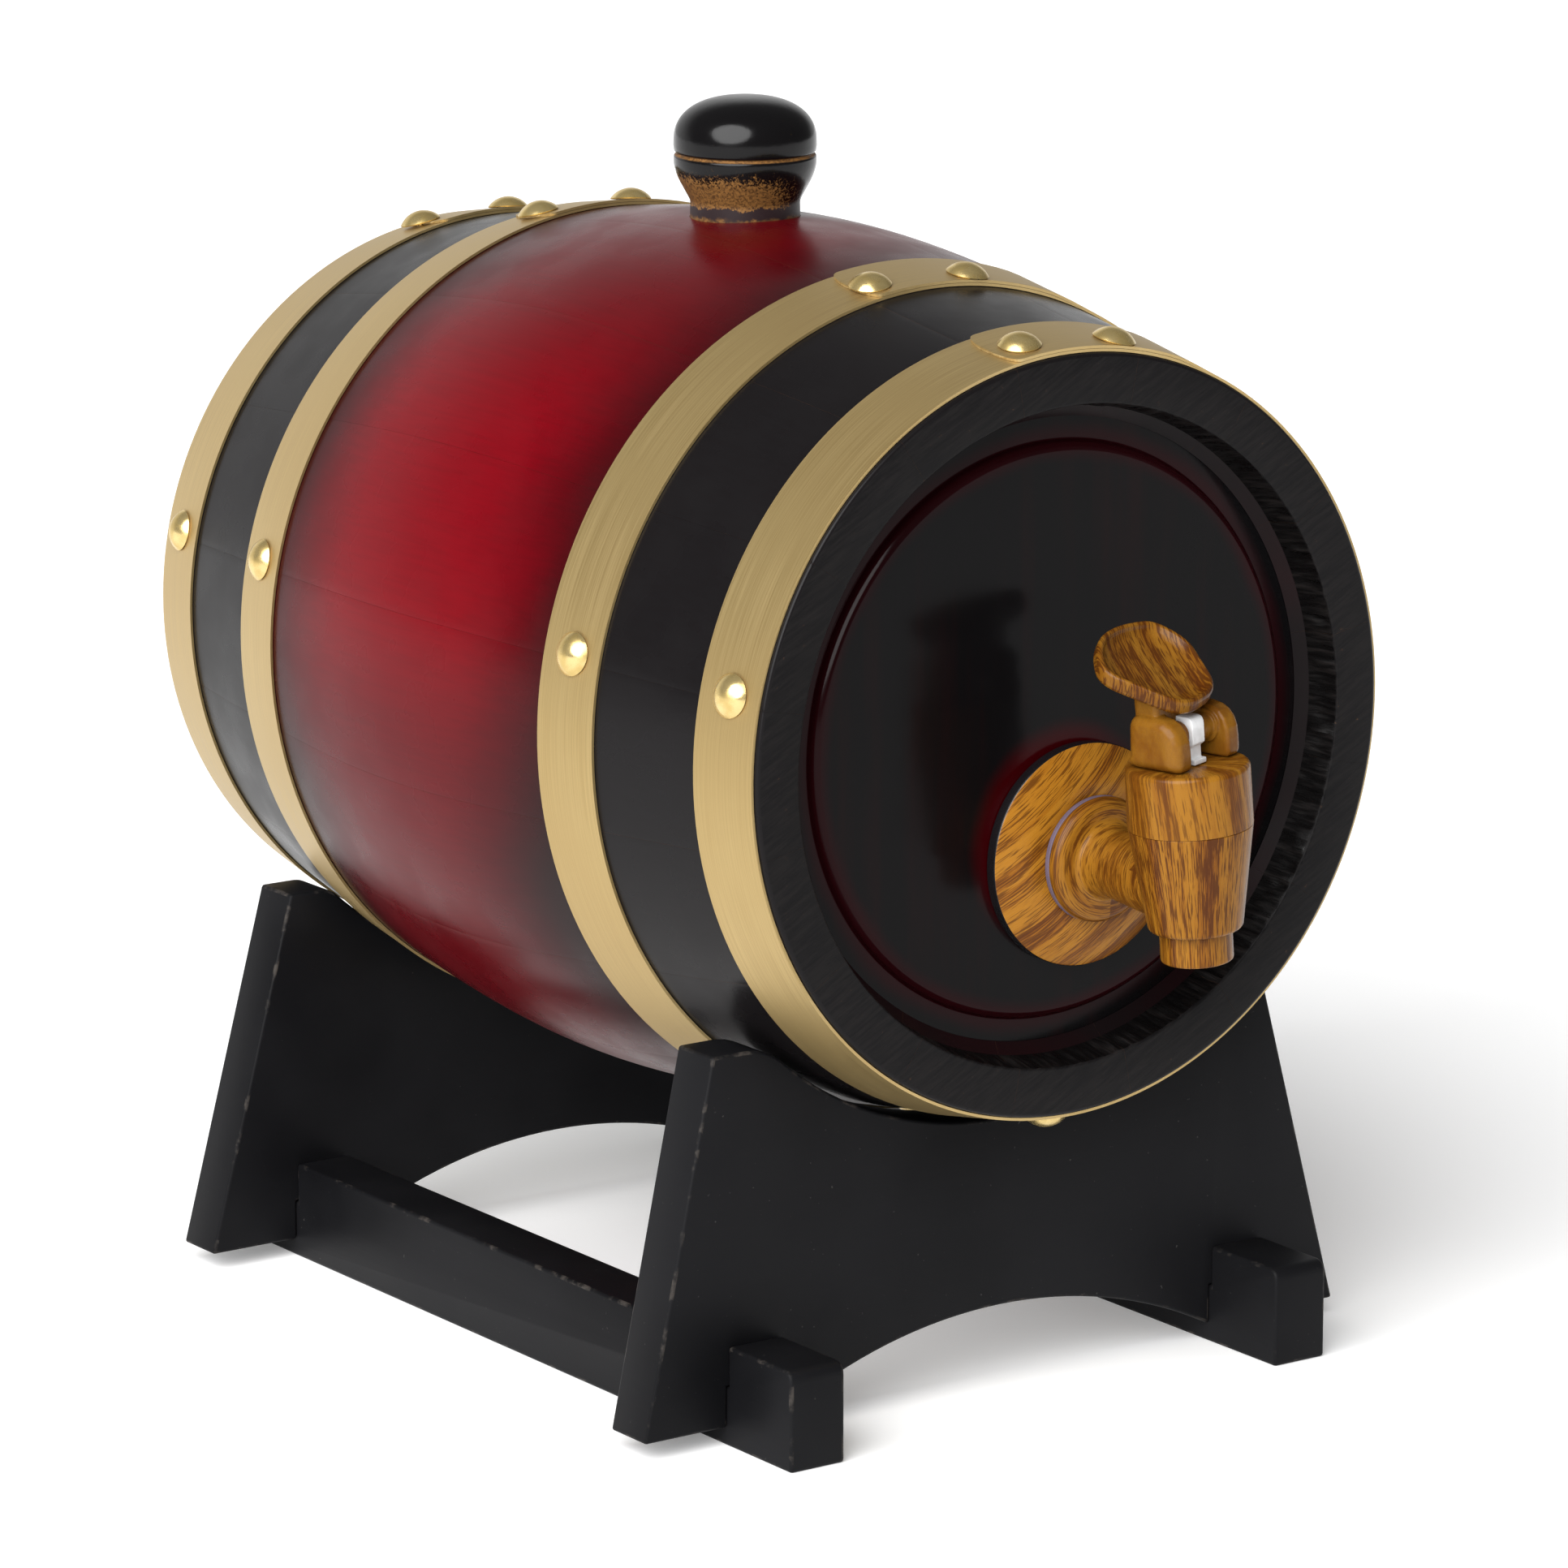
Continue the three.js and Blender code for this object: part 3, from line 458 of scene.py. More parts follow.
def end_paint():
    """Satin black over end grain, with the arcs a saw leaves and worn brown flecks."""
    paint = Paint("end_paint", Specular_IOR_Level=0.1)
    here = paint.position()
    scratches = paint.noise(paint.scaled(here, (90, 500, 900), (0, 0.5, 0)), 1, 4, 0.65)
    flecks = paint.noise(here, 420, 4, 0.7)
    worn = paint.times(paint.span(flecks, 0.62, 0.74), paint.span(scratches, 0.5, 0.68))
    tone = paint.mix(paint.span(scratches, 0.35, 0.7), srgb(15, 14, 15), srgb(27, 25, 25))
    paint.color(paint.mix(worn, tone, srgb(84, 60, 42)))
    paint.rough(scratches, 0.36, 0.56)
    paint.bump(scratches, 0.00015, 0.5)
    return paint.material


def saw_bevel_paint():
    """Glossy black run over torn, toothed wood."""
    paint = Paint("saw_bevel_paint", Specular_IOR_Level=0.25)
    here = paint.position()
    x, y, z = paint.axes(here)
    angle, radius = paint.polar(x, paint.minus(z, AXIS_Z))
    combed = paint.vector(paint.times(angle, SAW_BEVEL_RADIUS), radius, y)
    torn = paint.noise(paint.scaled(combed, (900, 90, 90)), 1, 4, 0.6)
    paint.color(paint.mix(paint.span(torn, 0.45, 0.8), srgb(9, 8, 8), srgb(24, 20, 19)))
    paint.rough(torn, 0.22, 0.5)
    paint.bump(torn, 0.0005, 0.8)
    return paint.material


def wall_paint():
    """The smooth dark-red wall between the saw bevel and the head."""
    paint = Paint("wall_paint", Specular_IOR_Level=0.12)
    here = paint.position()
    cloud = paint.noise(here, 30, 3)
    paint.color(paint.mix(paint.span(cloud, 0.35, 0.65), srgb(22, 6, 8), srgb(13, 7, 8)))
    paint.rough(cloud, 0.25, 0.4)
    return paint.material


def charred_oak():
    """The inside of the barrel: toasted oak."""
    paint = Paint("charred_oak", Specular_IOR_Level=0.3, Roughness=0.75)
    here = paint.position()
    grain = paint.noise(paint.scaled(here, (500, 25, 500)), 1, 5, 0.6)
    paint.color(paint.mix(paint.span(grain, 0.35, 0.7), srgb(96, 62, 36), srgb(44, 27, 17)))
    paint.bump(grain, 0.0003, 0.6)
    return paint.material


def head_paint(name, halo):
    """Black lacquer over dark red: red shows round the tap and on the disc's chamfer."""
    paint = Paint(name, Specular_IOR_Level=0.09)
    here = paint.position()
    x, _, z = paint.axes(here)
    _, radius = paint.polar(x, paint.minus(z, AXIS_Z))
    cloud = paint.noise(here, 35, 3)
    streaks = paint.noise(paint.scaled(here, (160, 30, 12)), 1, 3, 0.55)
    tone = paint.mix(paint.span(streaks, 0.45, 0.75), srgb(11, 10, 11), srgb(18, 10, 11))
    wander = paint.sway(cloud, 0.004)
    rim = paint.math("ABSOLUTE", paint.minus(paint.plus(radius, wander), DISC_RADIUS))
    tone = paint.mix(paint.span(rim, 0.005, 0.0004), tone, srgb(32, 5, 8))
    if halo:
        side = paint.minus(x, TAP_ORIGIN.x - 3.5 * MM)
        above = paint.minus(z, TAP_ORIGIN.z + 4 * MM)
        _, away = paint.polar(side, above)
        away = paint.plus(away, wander)
        tone = paint.mix(paint.span(away, 0.0275, 0.0215), tone, srgb(48, 1, 4))
    paint.color(tone)
    orange_peel = paint.noise(here, 260, 2)
    paint.rough(cloud, 0.12, 0.2)
    paint.bump(orange_peel, 0.00004, 0.25)
    return paint.material


def brass_strip(name):
    """Brass brushed along the hoop, a little uneven in tone."""
    paint = Paint(name, Metallic=0.72, Anisotropic=0.8)
    round_the_hoop = paint.node("Tangent", {"direction_type": "RADIAL", "axis": "Y"})
    paint.set(paint.shader.inputs["Tangent"], round_the_hoop.outputs[0])
    here = paint.position()
    x, y, z = paint.axes(here)
    angle, _ = paint.polar(x, paint.minus(z, AXIS_Z))
    strip = paint.vector(paint.times(angle, 2.2), paint.times(y, 4200), 0.0)
    brushed = paint.noise(strip, 1, 5, 0.62)
    cloud = paint.noise(here, 22, 3)
    tone = paint.mix(paint.span(brushed, 0.3, 0.7), srgb(176, 150, 98), srgb(200, 175, 122))
    paint.color(paint.mix(paint.span(cloud, 0.35, 0.75, 0.0, 0.4), tone, srgb(178, 150, 98)))
    paint.rough(brushed, 0.34, 0.5)
    paint.bump(brushed, 0.00002, 0.3)
    return paint.material


def brass_tack():
    """Brighter, yellower pressed brass with faint dents."""
    paint = Paint("brass_tack", Metallic=0.85)
    here = paint.position()
    dents = paint.noise(here, 300, 2)
    paint.color(paint.mix(paint.span(dents, 0.3, 0.7), srgb(236, 210, 146), srgb(214, 186, 118)))
    paint.rough(dents, 0.18, 0.34)
    paint.bump(dents, 0.0002, 0.35)
    return paint.material


def bung_stain():
    """Gloss black on the dome, worn to tan speckle on the lower lobe and in the groove."""
    paint = Paint("bung_stain", Specular_IOR_Level=0.24)
    here = paint.position()
    x, y, z = paint.axes(here)
    ragged = paint.noise(here, 300, 5, 0.7)
    speckle = paint.noise(here, 1700, 3, 0.75)
    height = paint.plus(z, paint.sway(ragged, 0.004))
    side = paint.span(paint.plus(x, paint.times(y, -0.2)), 0.013, -0.009)
    lobe = paint.times(paint.span(height, 0.0018, 0.0030), paint.span(height, 0.0130, 0.0048))
    lobe = paint.times(lobe, paint.plus(paint.times(side, 0.85), 0.15))
    lobe = paint.span(paint.plus(lobe, paint.sway(speckle, 1.7)), 0.3, 0.62, 0.0, 0.92)
    groove = paint.times(paint.span(z, 0.0134, 0.0137), paint.span(z, 0.0144, 0.0140))
    groove = paint.times(groove, paint.span(ragged, 0.35, 0.5, 0.45, 1.0))
    foot = paint.span(height, 0.0004, -0.0006, 0.0, 0.8)
    bare = paint.math("MAXIMUM", paint.math("MAXIMUM", lobe, groove), foot)
    tan = paint.mix(paint.span(speckle, 0.35, 0.62), srgb(76, 50, 26), srgb(136, 96, 50))
    neck = paint.span(z, 0.0042, 0.0030)
    lacquer = paint.mix(neck, srgb(13, 12, 13), srgb(38, 26, 28))
    paint.color(paint.mix(bare, lacquer, tan))
    dull = paint.math("MAXIMUM", bare, paint.times(neck, 0.7))
    paint.set(paint.shader.inputs["Roughness"], paint.plus(paint.times(dull, 0.4), 0.16))
    paint.bump(ragged, 0.00012, 0.35)
    return paint.material


def woodgrain(name, rotation, stretch, tone=1.0, amount=1.0, seed=0.0, wrap=None):
    """Printed wood grain on glossy plastic: amber, with short dark dashes along `stretch`.

    Wrapped about Z or Y, the grain follows the turned surface instead of piercing it.
    """
    paint = Paint(name, Specular_IOR_Level=0.16)
    here = paint.position()
    x, y, z = paint.axes(here)
    if wrap == "Z":
        angle, radius = paint.polar(x, paint.times(y, -1))
        here = paint.vector(paint.times(angle, 13 * MM), radius, z)
    if wrap == "Y":
        angle, radius = paint.polar(x, z)
        across_grain = paint.plus(y, paint.times(radius, 0.6))
        here = paint.vector(paint.times(angle, 9 * MM), across_grain, seed)
    shift = (seed, seed, 0)
    turned = paint.node("Mapping", Vector=here, Rotation=rotation, Location=shift).outputs[0]
    fine, broad = [
        paint.node("Mapping", Vector=turned, Scale=[scale * s for s in stretch]).outputs[0]
        for scale in (DASH_SCALE, BAND_SCALE)
    ]
    dash = paint.noise(fine, 1, 2, 0.5, 0.15)
    band = paint.noise(broad, 1, 3, 0.6, 0.25)
    light = srgb(160 * tone, 107 * tone, 30 * tone)
    deep = srgb(138 * tone, 84 * tone, 19 * tone)
    base = paint.mix(paint.span(band, 0.35, 0.65), light, deep)
    over = paint.minus(dash, paint.span(band, 0.36, 0.68, 0.56, 0.42))
    dashes = paint.span(over, -0.03, 0.07, 0.0, 0.68 * amount)
    streak = paint.span(band, 0.56, 0.76, 0.0, 0.5 * amount)
    base = paint.mix(streak, base, srgb(88, 42, 11))
    paint.color(paint.mix(dashes, base, srgb(60, 25, 6)))
    paint.rough(dash, 0.26, 0.34)
    paint.bump(dash, 0.00003, 0.3)
    return paint.material


def plain(name, color, roughness, grain=300, metallic=0.0, depth=0.00005):
    """A moulded or drawn surface: one colour with a faint mottle."""
    paint = Paint(name, Metallic=metallic)
    mottle = paint.noise(paint.position(), grain, 3)
    darker = tuple(channel * 0.82 for channel in color[:3]) + (1,)
    paint.color(paint.mix(paint.span(mottle, 0.35, 0.65), color, darker))
    paint.rough(mottle, roughness - 0.04, roughness + 0.06)
    paint.bump(mottle, depth, 0.3)
    return paint.material


def stand_paint(name, worn):
    """Satin black brushed on pine: faint grain, dust specks; edges rubbed grey-brown."""
    paint = Paint(name, Specular_IOR_Level=0.09)
    here = paint.position()
    grain = paint.noise(paint.scaled(here, (26, 26, 420)), 1, 4, 0.6)
    cloud = paint.noise(here, 18, 3)
    specks = paint.span(paint.noise(here, 900, 2), 0.74, 0.8)
    tone = paint.mix(paint.span(cloud, 0.35, 0.65), srgb(14, 14, 16), srgb(22, 22, 24))
    tone = paint.mix(paint.times(specks, 0.35), tone, srgb(92, 90, 88))
    if worn:
        rubbed = paint.span(paint.noise(here, 160, 4, 0.7), 0.5, 0.68)
        tone = paint.mix(rubbed, tone, srgb(58, 54, 51))
    paint.color(tone)
    paint.rough(cloud, 0.42, 0.55)
    paint.bump(grain, 0.00012, 0.35)
    return paint.material


# ------------ barrel


def bow(y, mid, end):
    """A stave's radius at y: mid at the belly and end at its ends, on a soft curve."""
    rise = math.hypot(y, BOW_SOFTNESS) - BOW_SOFTNESS
    full = math.hypot(HALF_LENGTH, BOW_SOFTNESS) - BOW_SOFTNESS
    return mid - (mid - end) * rise / full


def outer_radius(y):
    return bow(y, BILGE_RADIUS, END_RADIUS)


def inner_radius(y):
    return bow(y, BILGE_RADIUS_INSIDE, END_RADIUS_INSIDE)


def on_barrel(angle, y, radius):
    """A point by its angle from the top towards +X, place along the barrel, and radius."""
    return Vector((radius * math.sin(angle), BARREL_MIDDLE + y, AXIS_Z + radius * math.cos(angle)))


def stave_outline():
    """Half a stave's outline in (y, radius), from the middle outside to the middle inside."""
    bow_steps = 24
    places = [HALF_LENGTH * i / bow_steps for i in range(bow_steps)]
    outside = [(y, outer_radius(y)) for y in places]
    end = rounded(
        [
            outside[-1],
            (HALF_LENGTH, END_RADIUS, 0.7 * MM), (HALF_LENGTH, CHIME_BORE_RADIUS, 0.5 * MM),
            (SAW_BEVEL_FACE, SAW_BEVEL_RADIUS),
        ],
        steps=3,
    )[1:-1]
    rows = 7
    run, rise = SAW_BEVEL_FACE - HALF_LENGTH, SAW_BEVEL_RADIUS - CHIME_BORE_RADIUS
    bevel_rows = [
        (HALF_LENGTH + run * i / rows, CHIME_BORE_RADIUS + rise * i / rows)
        for i in range(1, rows + 1)
    ]
    groove = [
        (HEAD_FACE + 0.2 * MM, GROOVE_LIP_RADIUS), (HEAD_FACE + 0.2 * MM, GROOVE_RADIUS),
        (GROOVE_BACK, GROOVE_RADIUS), (GROOVE_BACK, inner_radius(GROOVE_BACK)),
    ]
    inside = [(y * MM, inner_radius(y * MM)) for y in (90, 70, 50, 30, 12, 0)]
    return outside + end + bevel_rows + groove + inside


def torn(angle, y, radius):
    """How far the saw has torn the bevel in or out at a point, deepest in mid-bevel."""
    depth = (HALF_LENGTH - abs(y)) / (HALF_LENGTH - SAW_BEVEL_FACE)
    if not 0.02 < depth < 1.0 or radius > CHIME_BORE_RADIUS + 0.01 * MM:
        return 0
    if radius < SAW_BEVEL_RADIUS - 0.01 * MM:
        return 0
    around = angle * 74  # the bevel's radius in mm, so that the teeth are even round it
    spot = Vector((around * 0.55, y / MM * 0.08, math.copysign(3, y)))
    teeth = 0.8 * noise.noise(spot) + 0.4 * noise.noise(spot * 1.7)
    return 1.1 * MM * teeth * math.sin(math.pi * depth)


def stave(number):
    """One stave, and the name of its CAD node; number 1 is the top one, with the bung hole."""
    half = stave_outline()
    outline = half + [(-y, radius) for y, radius in reversed(half[1:-1])]
    step = math.radians(360 / STAVES / (2 * HALF_STEPS))
    centre = math.radians((number - 1) * 360 / STAVES)
    seam = 0.015 * MM / END_RADIUS
    places = []
    for i in range(-HALF_STEPS, HALF_STEPS + 1):
        edge = abs(i) == HALF_STEPS
        angle = centre + i * step - (math.copysign(seam, i) if edge else 0)
        section = []
        for y, radius in outline:
            outside = radius > outer_radius(y) - 0.01 * MM
            eased = 0.03 * MM if edge and outside else 0
            section.append(on_barrel(angle, y, radius + torn(angle, y, radius) - eased))
        places.append(section)
    name = "bung_stave" if number == 1 else f"stave_{number:02d}"
    piece = loft(name + "_shell", len(outline), places)
    if number == 1:
        plug = mm((0, -30), (11.9, -30), (13.1, 10), (0, 10))
        hole = lathe("hole", plug, segments=64)
        hole.location = BUNG_BASE
        combine(piece, hole)
    return smooth(piece, 30), name


def stave_part(centre):
    """Which of the stave's surfaces a face belongs to, by where its middle is."""
    y = abs(centre.y - BARREL_MIDDLE)
    radius = math.hypot(centre.x, centre.z - AXIS_Z)
    outside = radius > outer_radius(min(y, HALF_LENGTH)) - 0.9 * MM
    if outside and y < HALF_LENGTH - 0.02 * MM:
        return 0
    if y > HALF_LENGTH - 0.5 * MM and radius > CHIME_BORE_RADIUS - 0.2 * MM:
        return 1
    if y > SAW_BEVEL_FACE:
        return 2
    if y > HEAD_FACE:
        return 3
    return 4


stave_materials = [stave_paint(), end_paint(), saw_bevel_paint(), wall_paint(), charred_oak()]
for number in range(1, STAVES + 1):
    piece, node = stave(number)
    show(piece, "barrel", [node], stave_materials, stave_part)


def head(name, side):
    """A turned head with a raised disc, in its groove; side is -1 at the front, 1 behind."""
    outline = rounded(
        [
            (0, HEAD_BACK), (67.9 * MM, HEAD_BACK, 0.5 * MM), (70.4 * MM, HEAD_RIM_BACK),
            (HEAD_RIM_RADIUS, HEAD_RIM_BACK, 0.3 * MM), (HEAD_RIM_RADIUS, HEAD_FACE, 0.3 * MM),
            (DISC_RADIUS + 0.5 * MM, HEAD_FACE, 0.3 * MM),
            (DISC_RADIUS, DISC_FACE - 1.1 * MM, 0.5 * MM),
            (DISC_RADIUS - 1.3 * MM, DISC_FACE, 0.6 * MM), (0, DISC_FACE),
        ]
    )
    turned = [(radius, side * along) for radius, along in outline]
    piece = lathe(name + "_board", turned, axis="Y", segments=192)
    piece.data.transform(Matrix.Translation((0, BARREL_MIDDLE, AXIS_Z)))
    return piece


front = head("front_head", -1)
shank_hole = lathe("hole", mm((0, -20), (8.2, -20), (8.2, 20), (0, 20)), axis="Y", segments=48)
shank_hole.location = (TAP_ORIGIN.x, BARREL_MIDDLE - 110 * MM, TAP_ORIGIN.z)
combine(front, shank_hole)
for board, node, halo in ((front, "front_head", True), (head("rear_head", 1), "rear_head", False)):
    paint = head_paint(node + "_paint", halo)
    show(smooth(board, 40), "barrel", [node], [paint])

# ------------ hoops and tacks

HOOP_STEP = math.radians(2)
LAP_START = math.radians(27)
LAP_END = math.radians(-9)
LAP_RAMP = math.radians(9)


def hoop(name, centre_y):
    """One brass strip wound round the barrel, its end lapped over its start near the top."""
    width = size(name + "_hoop").y
    edges = [(-1, 0, 0.02), (1, 0, 0.02), (1, 1, 0.02), (-1, 1, 0.02)]
    corners = rounded(edges, closed=True, steps=2)
    round_trip = 2 * math.pi + LAP_START - LAP_END
    steps = round(round_trip / HOOP_STEP)
    places = []

    def section(angle, lift, share, thickness=HOOP_THICKNESS):
        ring = []
        for across, out in corners:
            y = centre_y + across * share * width / 2
            ring.append(on_barrel(angle, y, outer_radius(y) + lift + out * thickness))
        return ring

    def climbed(angle):
        share = min(1, max(0, angle / LAP_RAMP))
        return share * share * (3 - 2 * share)

    for i in range(steps + 1):
        turned = round_trip * i / steps
        lift = HOOP_LIFT + (HOOP_LAP_LIFT - HOOP_LIFT) * climbed(turned - 2 * math.pi)
        feathered = HOOP_THICKNESS * max(0.04, climbed(turned))
        places.append(section(LAP_START - turned, lift, 1, feathered))
    tongue = 4.2 * MM / BILGE_RADIUS
    for along in (0.15, 0.3, 0.45, 0.6, 0.72, 0.82, 0.9, 0.95, 0.985):
        places.append(section(LAP_END - along * tongue, HOOP_LAP_LIFT, (1 - along**3) ** 0.5))
    return smooth(loft(name + "_strip", len(corners), places), 30)


brass = brass_strip("brass_strip")
tack_brass = brass_tack()
HOOP_NAMES = ("front_chime", "front_bilge", "rear_bilge", "rear_chime")
for hoop_name in HOOP_NAMES:
    strip_y = middle(hoop_name + "_hoop").y - BARREL_MIDDLE
    show(hoop(hoop_name, strip_y), "barrel", [hoop_name + "_hoop"], [brass])


def tack(node):
    """A domed tack, standing square to the hoop where the CAD tack stands."""
    centre = middle(node)
    angle = math.atan2(centre.x, centre.z - AXIS_Z)
    y = centre.y - BARREL_MIDDLE
    slope = math.atan2(outer_radius(y - MM) - outer_radius(y + MM), 2 * MM)
    flat_out = math.cos(slope)
    out = Vector((math.sin(angle) * flat_out, math.sin(slope), math.cos(angle) * flat_out))
    lapped = node.endswith(("_1", "_2"))
    lift = (HOOP_LAP_LIFT if lapped else HOOP_LIFT) + HOOP_THICKNESS + 0.05 * MM
    sphere = (TACK_RADIUS**2 + TACK_HEIGHT**2) / (2 * TACK_HEIGHT)
    rim = math.asin(TACK_RADIUS / sphere)
    rise = 0.25 * MM
    dome_steps = 9
    turns = [rim * (1 - i / dome_steps) for i in range(dome_steps)]
    dome = [(sphere * math.sin(t), rise + sphere * (math.cos(t) - math.cos(rim))) for t in turns]
    outline = [
        *mm((0, -6), (1, -5), (1, 0)),
        (TACK_RADIUS - 0.15 * MM, 0),
        *dome,
        (0, rise + TACK_HEIGHT),
    ]
    piece = lathe(node + "_dome", outline, segments=32)
    turn = Vector((0, 0, 1)).rotation_difference(out).to_matrix().to_4x4()
    foot = on_barrel(angle, y, outer_radius(y)) + out * lift
    piece.data.transform(Matrix.Translation(foot) @ turn)
    return smooth(piece, 50)


for hoop_name in HOOP_NAMES:
    for i in range(1, 6):
        node = f"{hoop_name}_tack_{i}"
        show(tack(node), "barrel", [node], [tack_brass])

# ------------ bung


def bung():
    """A turned knob: tapered plug, neck, cone-shaped lower lobe, groove, and a full dome."""
    radius, shoulder, height = 16.5, 16.4, 10.7  # mm, of the dome
    fullness = 2 / 2.4  # under 1, so the dome is fuller than an ellipse
    dome_steps = 20
    dome = []
    for i in range(1, dome_steps):
        turn = math.pi / 2 * i / dome_steps
        rise = height * math.sin(turn) ** fullness
        dome.append((radius * math.cos(turn) ** fullness, shoulder + rise))
    foot = rounded(
        [
            (0, -18), (11.5, -18, 0.8), (12.3, -2.0, 0.8), (12.7, -1.4, 0.3), (12.6, 3.0, 0.6),
            (13.1, 4.0, 0.5), (15.6, 8.6, 1.4), (16.5, 11.6, 1.2), (16.4, 13.4, 0.3),
            (15.7, 14.0, 0.2), (16.3, 14.5, 0.3), (16.5, 15.8),
        ],
        steps=4,
    )
    outline = [(r * MM, h * MM) for r, h in [*foot, *dome, (0, 27.1)]]
    piece = lathe("bung_knob", outline, segments=96)
    piece.location = BUNG_BASE
    return smooth(piece, 35)


show(bung(), "bung", ["bung"], [bung_stain()])

# ------------ tap


def in_tap(piece, place=TAP_FRAME):
    piece.matrix_world = place
    return piece


def distance_out(*rows):
    """(radius, distance from the head's disc) in mm, as (radius, along) for the tap frame."""
    return [(row[0] * MM, (DISC_FROM_TAP - row[1]) * MM, *(r * MM for r in row[2:])) for row in rows]


def backplate():
    """A domed disc with a straight edge, bored for the shank."""
    dome = [(14 + 11.0 * t, 6.5 - 3.5 * t**2) for t in (0, 0.15, 0.3, 0.45, 0.6, 0.75, 0.9)]
    rim = distance_out(*dome, (25.2, 3.0, 0.5), (25.2, 0.15, 0.3), (8.2, 0.15), (8.2, 6.5))
    disc = lathe("tap_backplate_disc", rounded(rim, closed=True), "Y", 128, closed=True)
    return in_tap(smooth(disc, 40))


def washer(name, inner, outer, start, end):
    """A flat ring on the shank, its sizes in mm and its faces at start and end from the disc."""
    rim = distance_out((inner, end), (outer, end, 0.25), (outer, start, 0.25), (inner, start))
    return in_tap(smooth(lathe(name, rounded(rim, closed=True), "Y", 96, closed=True), 40))


def tap_body():
    """Flange, neck, valve body and spout in one moulding, bored through."""
    neck = distance_out(
        (0, 42), (8.9, 41.5), (8.9, 33, 4), (8.0, 21, 4), (7.5, 14.6, 2.0), (8.6, 11.3, 1.1),
        (12.4, 10.9, 0.8), (14.1, 9.6, 1.2), (14.1, 8.05, 0.4), (8.0, 8.05), (8.0, -22.5, 0.6),
        (0, -22.5),
    )
    chalice = mm(
        (0, -16.1), (8.0, -16.1, 0.7), (8.0, -9.1, 0.3), (10.35, -8.9, 1.1), (13.7, 14.4, 0.25),
        (11.3, 14.4), (11.3, 19.5), (0, 19.5),
    )
    piece = lathe("tap_body_shell", rounded(neck), "Y", 96)
    combine(piece, lathe("chalice", rounded(chalice), "Z", 128), "UNION")
    chamber = mm((0, -6), (8.3, -6), (9.6, 6), (9.6, 25), (0, 25))
    spout = mm((0, -20), (5.5, -20), (5.5, -5), (0, -5))
    bore = mm((0, 0), (4.5, 0), (4.5, 70), (0, 70))
    combine(piece, lathe("chamber", chamber, "Z", 64))
    combine(piece, lathe("spout", spout, "Z", 64))
    combine(piece, lathe("bore", bore, "Y", 48))
    return in_tap(smooth(piece, 38))


def tap_body_part(centre):
    """Body and spout take upright grain, the neck and flange take grain that runs round."""
    return 0 if math.hypot(centre.x, centre.y) < 14.2 * MM else 1


def bonnet():
    """The cap on the valve body, hollow below, with a hole for the stem."""
    outline = mm(
        (11.6, 14.45), (13.75, 14.45, 0.15), (13.6, 28.2, 1.3), (2.6, 28.2), (2.6, 24.6),
        (8.0, 24.6), (8.0, 20.0), (11.6, 20.0),
    )
    cap = lathe("tap_bonnet_cap", rounded(outline, closed=True), "Z", 128, closed=True)
    return in_tap(smooth(cap, 38))


def across(x, y, depth):
    """Places an outline in (Y, Z) at X = depth."""
    return (depth, x, y)


def rod_x(name, radius, start, end, segments=48):
    """A round rod along X."""
    turns = [2 * math.pi * i / segments for i in range(segments)]
    outline = [(radius * math.cos(turn), radius * math.sin(turn)) for turn in turns]
    return extrude(name, outline, start, end, across)


def stem():
    """Rod, spring collar, and the white tongue that carries the axle."""
    bottom, top = BONNET_TOP / MM + 0.25, PIVOT_Z / MM + 3.8
    collar = [(2, 8), (5.5, 8), (5.5, 9.6), (2, 9.6)]
    rod = mm((0, -1.7), (2, -1.7), *collar, (2, bottom + 1), (0, bottom + 1))
    tongue = rounded(
        mm(
            (-3.8, bottom, 0.3), (3.8, bottom, 0.3), (3.8, top, 1.6), (-3.6, top, 1.9),
            (-3.6, bottom + 4.6, 0.4), (-2.4, bottom + 3.8, 0.3), (-2.4, bottom + 1.2, 0.3),
            (-3.8, bottom + 1.2, 0.3),
        ),
        closed=True,
    )
    piece = extrude("tap_stem_tongue", tongue, -2.0 * MM, 2.0 * MM, across)
    bevel(piece, 0.25 * MM, 3, 50)
    axle = rod_x("axle", 2.1 * MM, -7.8 * MM, 7.8 * MM)
    axle.location.z = PIVOT_Z
    combine(piece, axle, "UNION")
    combine(piece, lathe("rod", rod, "Z", 48), "UNION")
    return in_tap(smooth(piece, 38), STEM_FRAME)


def spring():
    """The return spring, a coil of wire round the stem between its collar and the bonnet."""
    steps, sides = 32, 8
    rise = (SPRING_TOP - SPRING_FOOT - 2 * SPRING_WIRE) / (SPRING_TURNS * steps)
    sections = []
    for i in range(SPRING_TURNS * steps + 1):
        around = math.tau * i / steps
        outward = Vector((math.cos(around), math.sin(around), 0))
        centre = outward * SPRING_RADIUS + Vector((0, 0, SPRING_FOOT + SPRING_WIRE + rise * i))
        section = []
        for j in range(sides):
            turn = math.tau * j / sides
            edge = outward * math.cos(turn) + Vector((0, 0, math.sin(turn)))
            section.append(centre + edge * SPRING_WIRE)
        sections.append(section)
    return in_tap(smooth(loft("tap_spring_coil", sides, sections), 60))


def cam_rim():
    """The part of an ear's rim that rolls on the bonnet, and lifts the stem evenly."""
    rise, rest = 6.0, 6.8  # mm of lift for each radian, and mm from axle to bonnet at rest
    steps = 6
    rim = []
    for i in range(steps + 1):
        angle = PRESS_LIMIT * i / steps
        reach = rest + rise * angle
        across_bonnet = reach * math.sin(angle) + rise * math.cos(angle)
        rim.append((across_bonnet, rise * math.sin(angle) - reach * math.cos(angle)))
    return rim


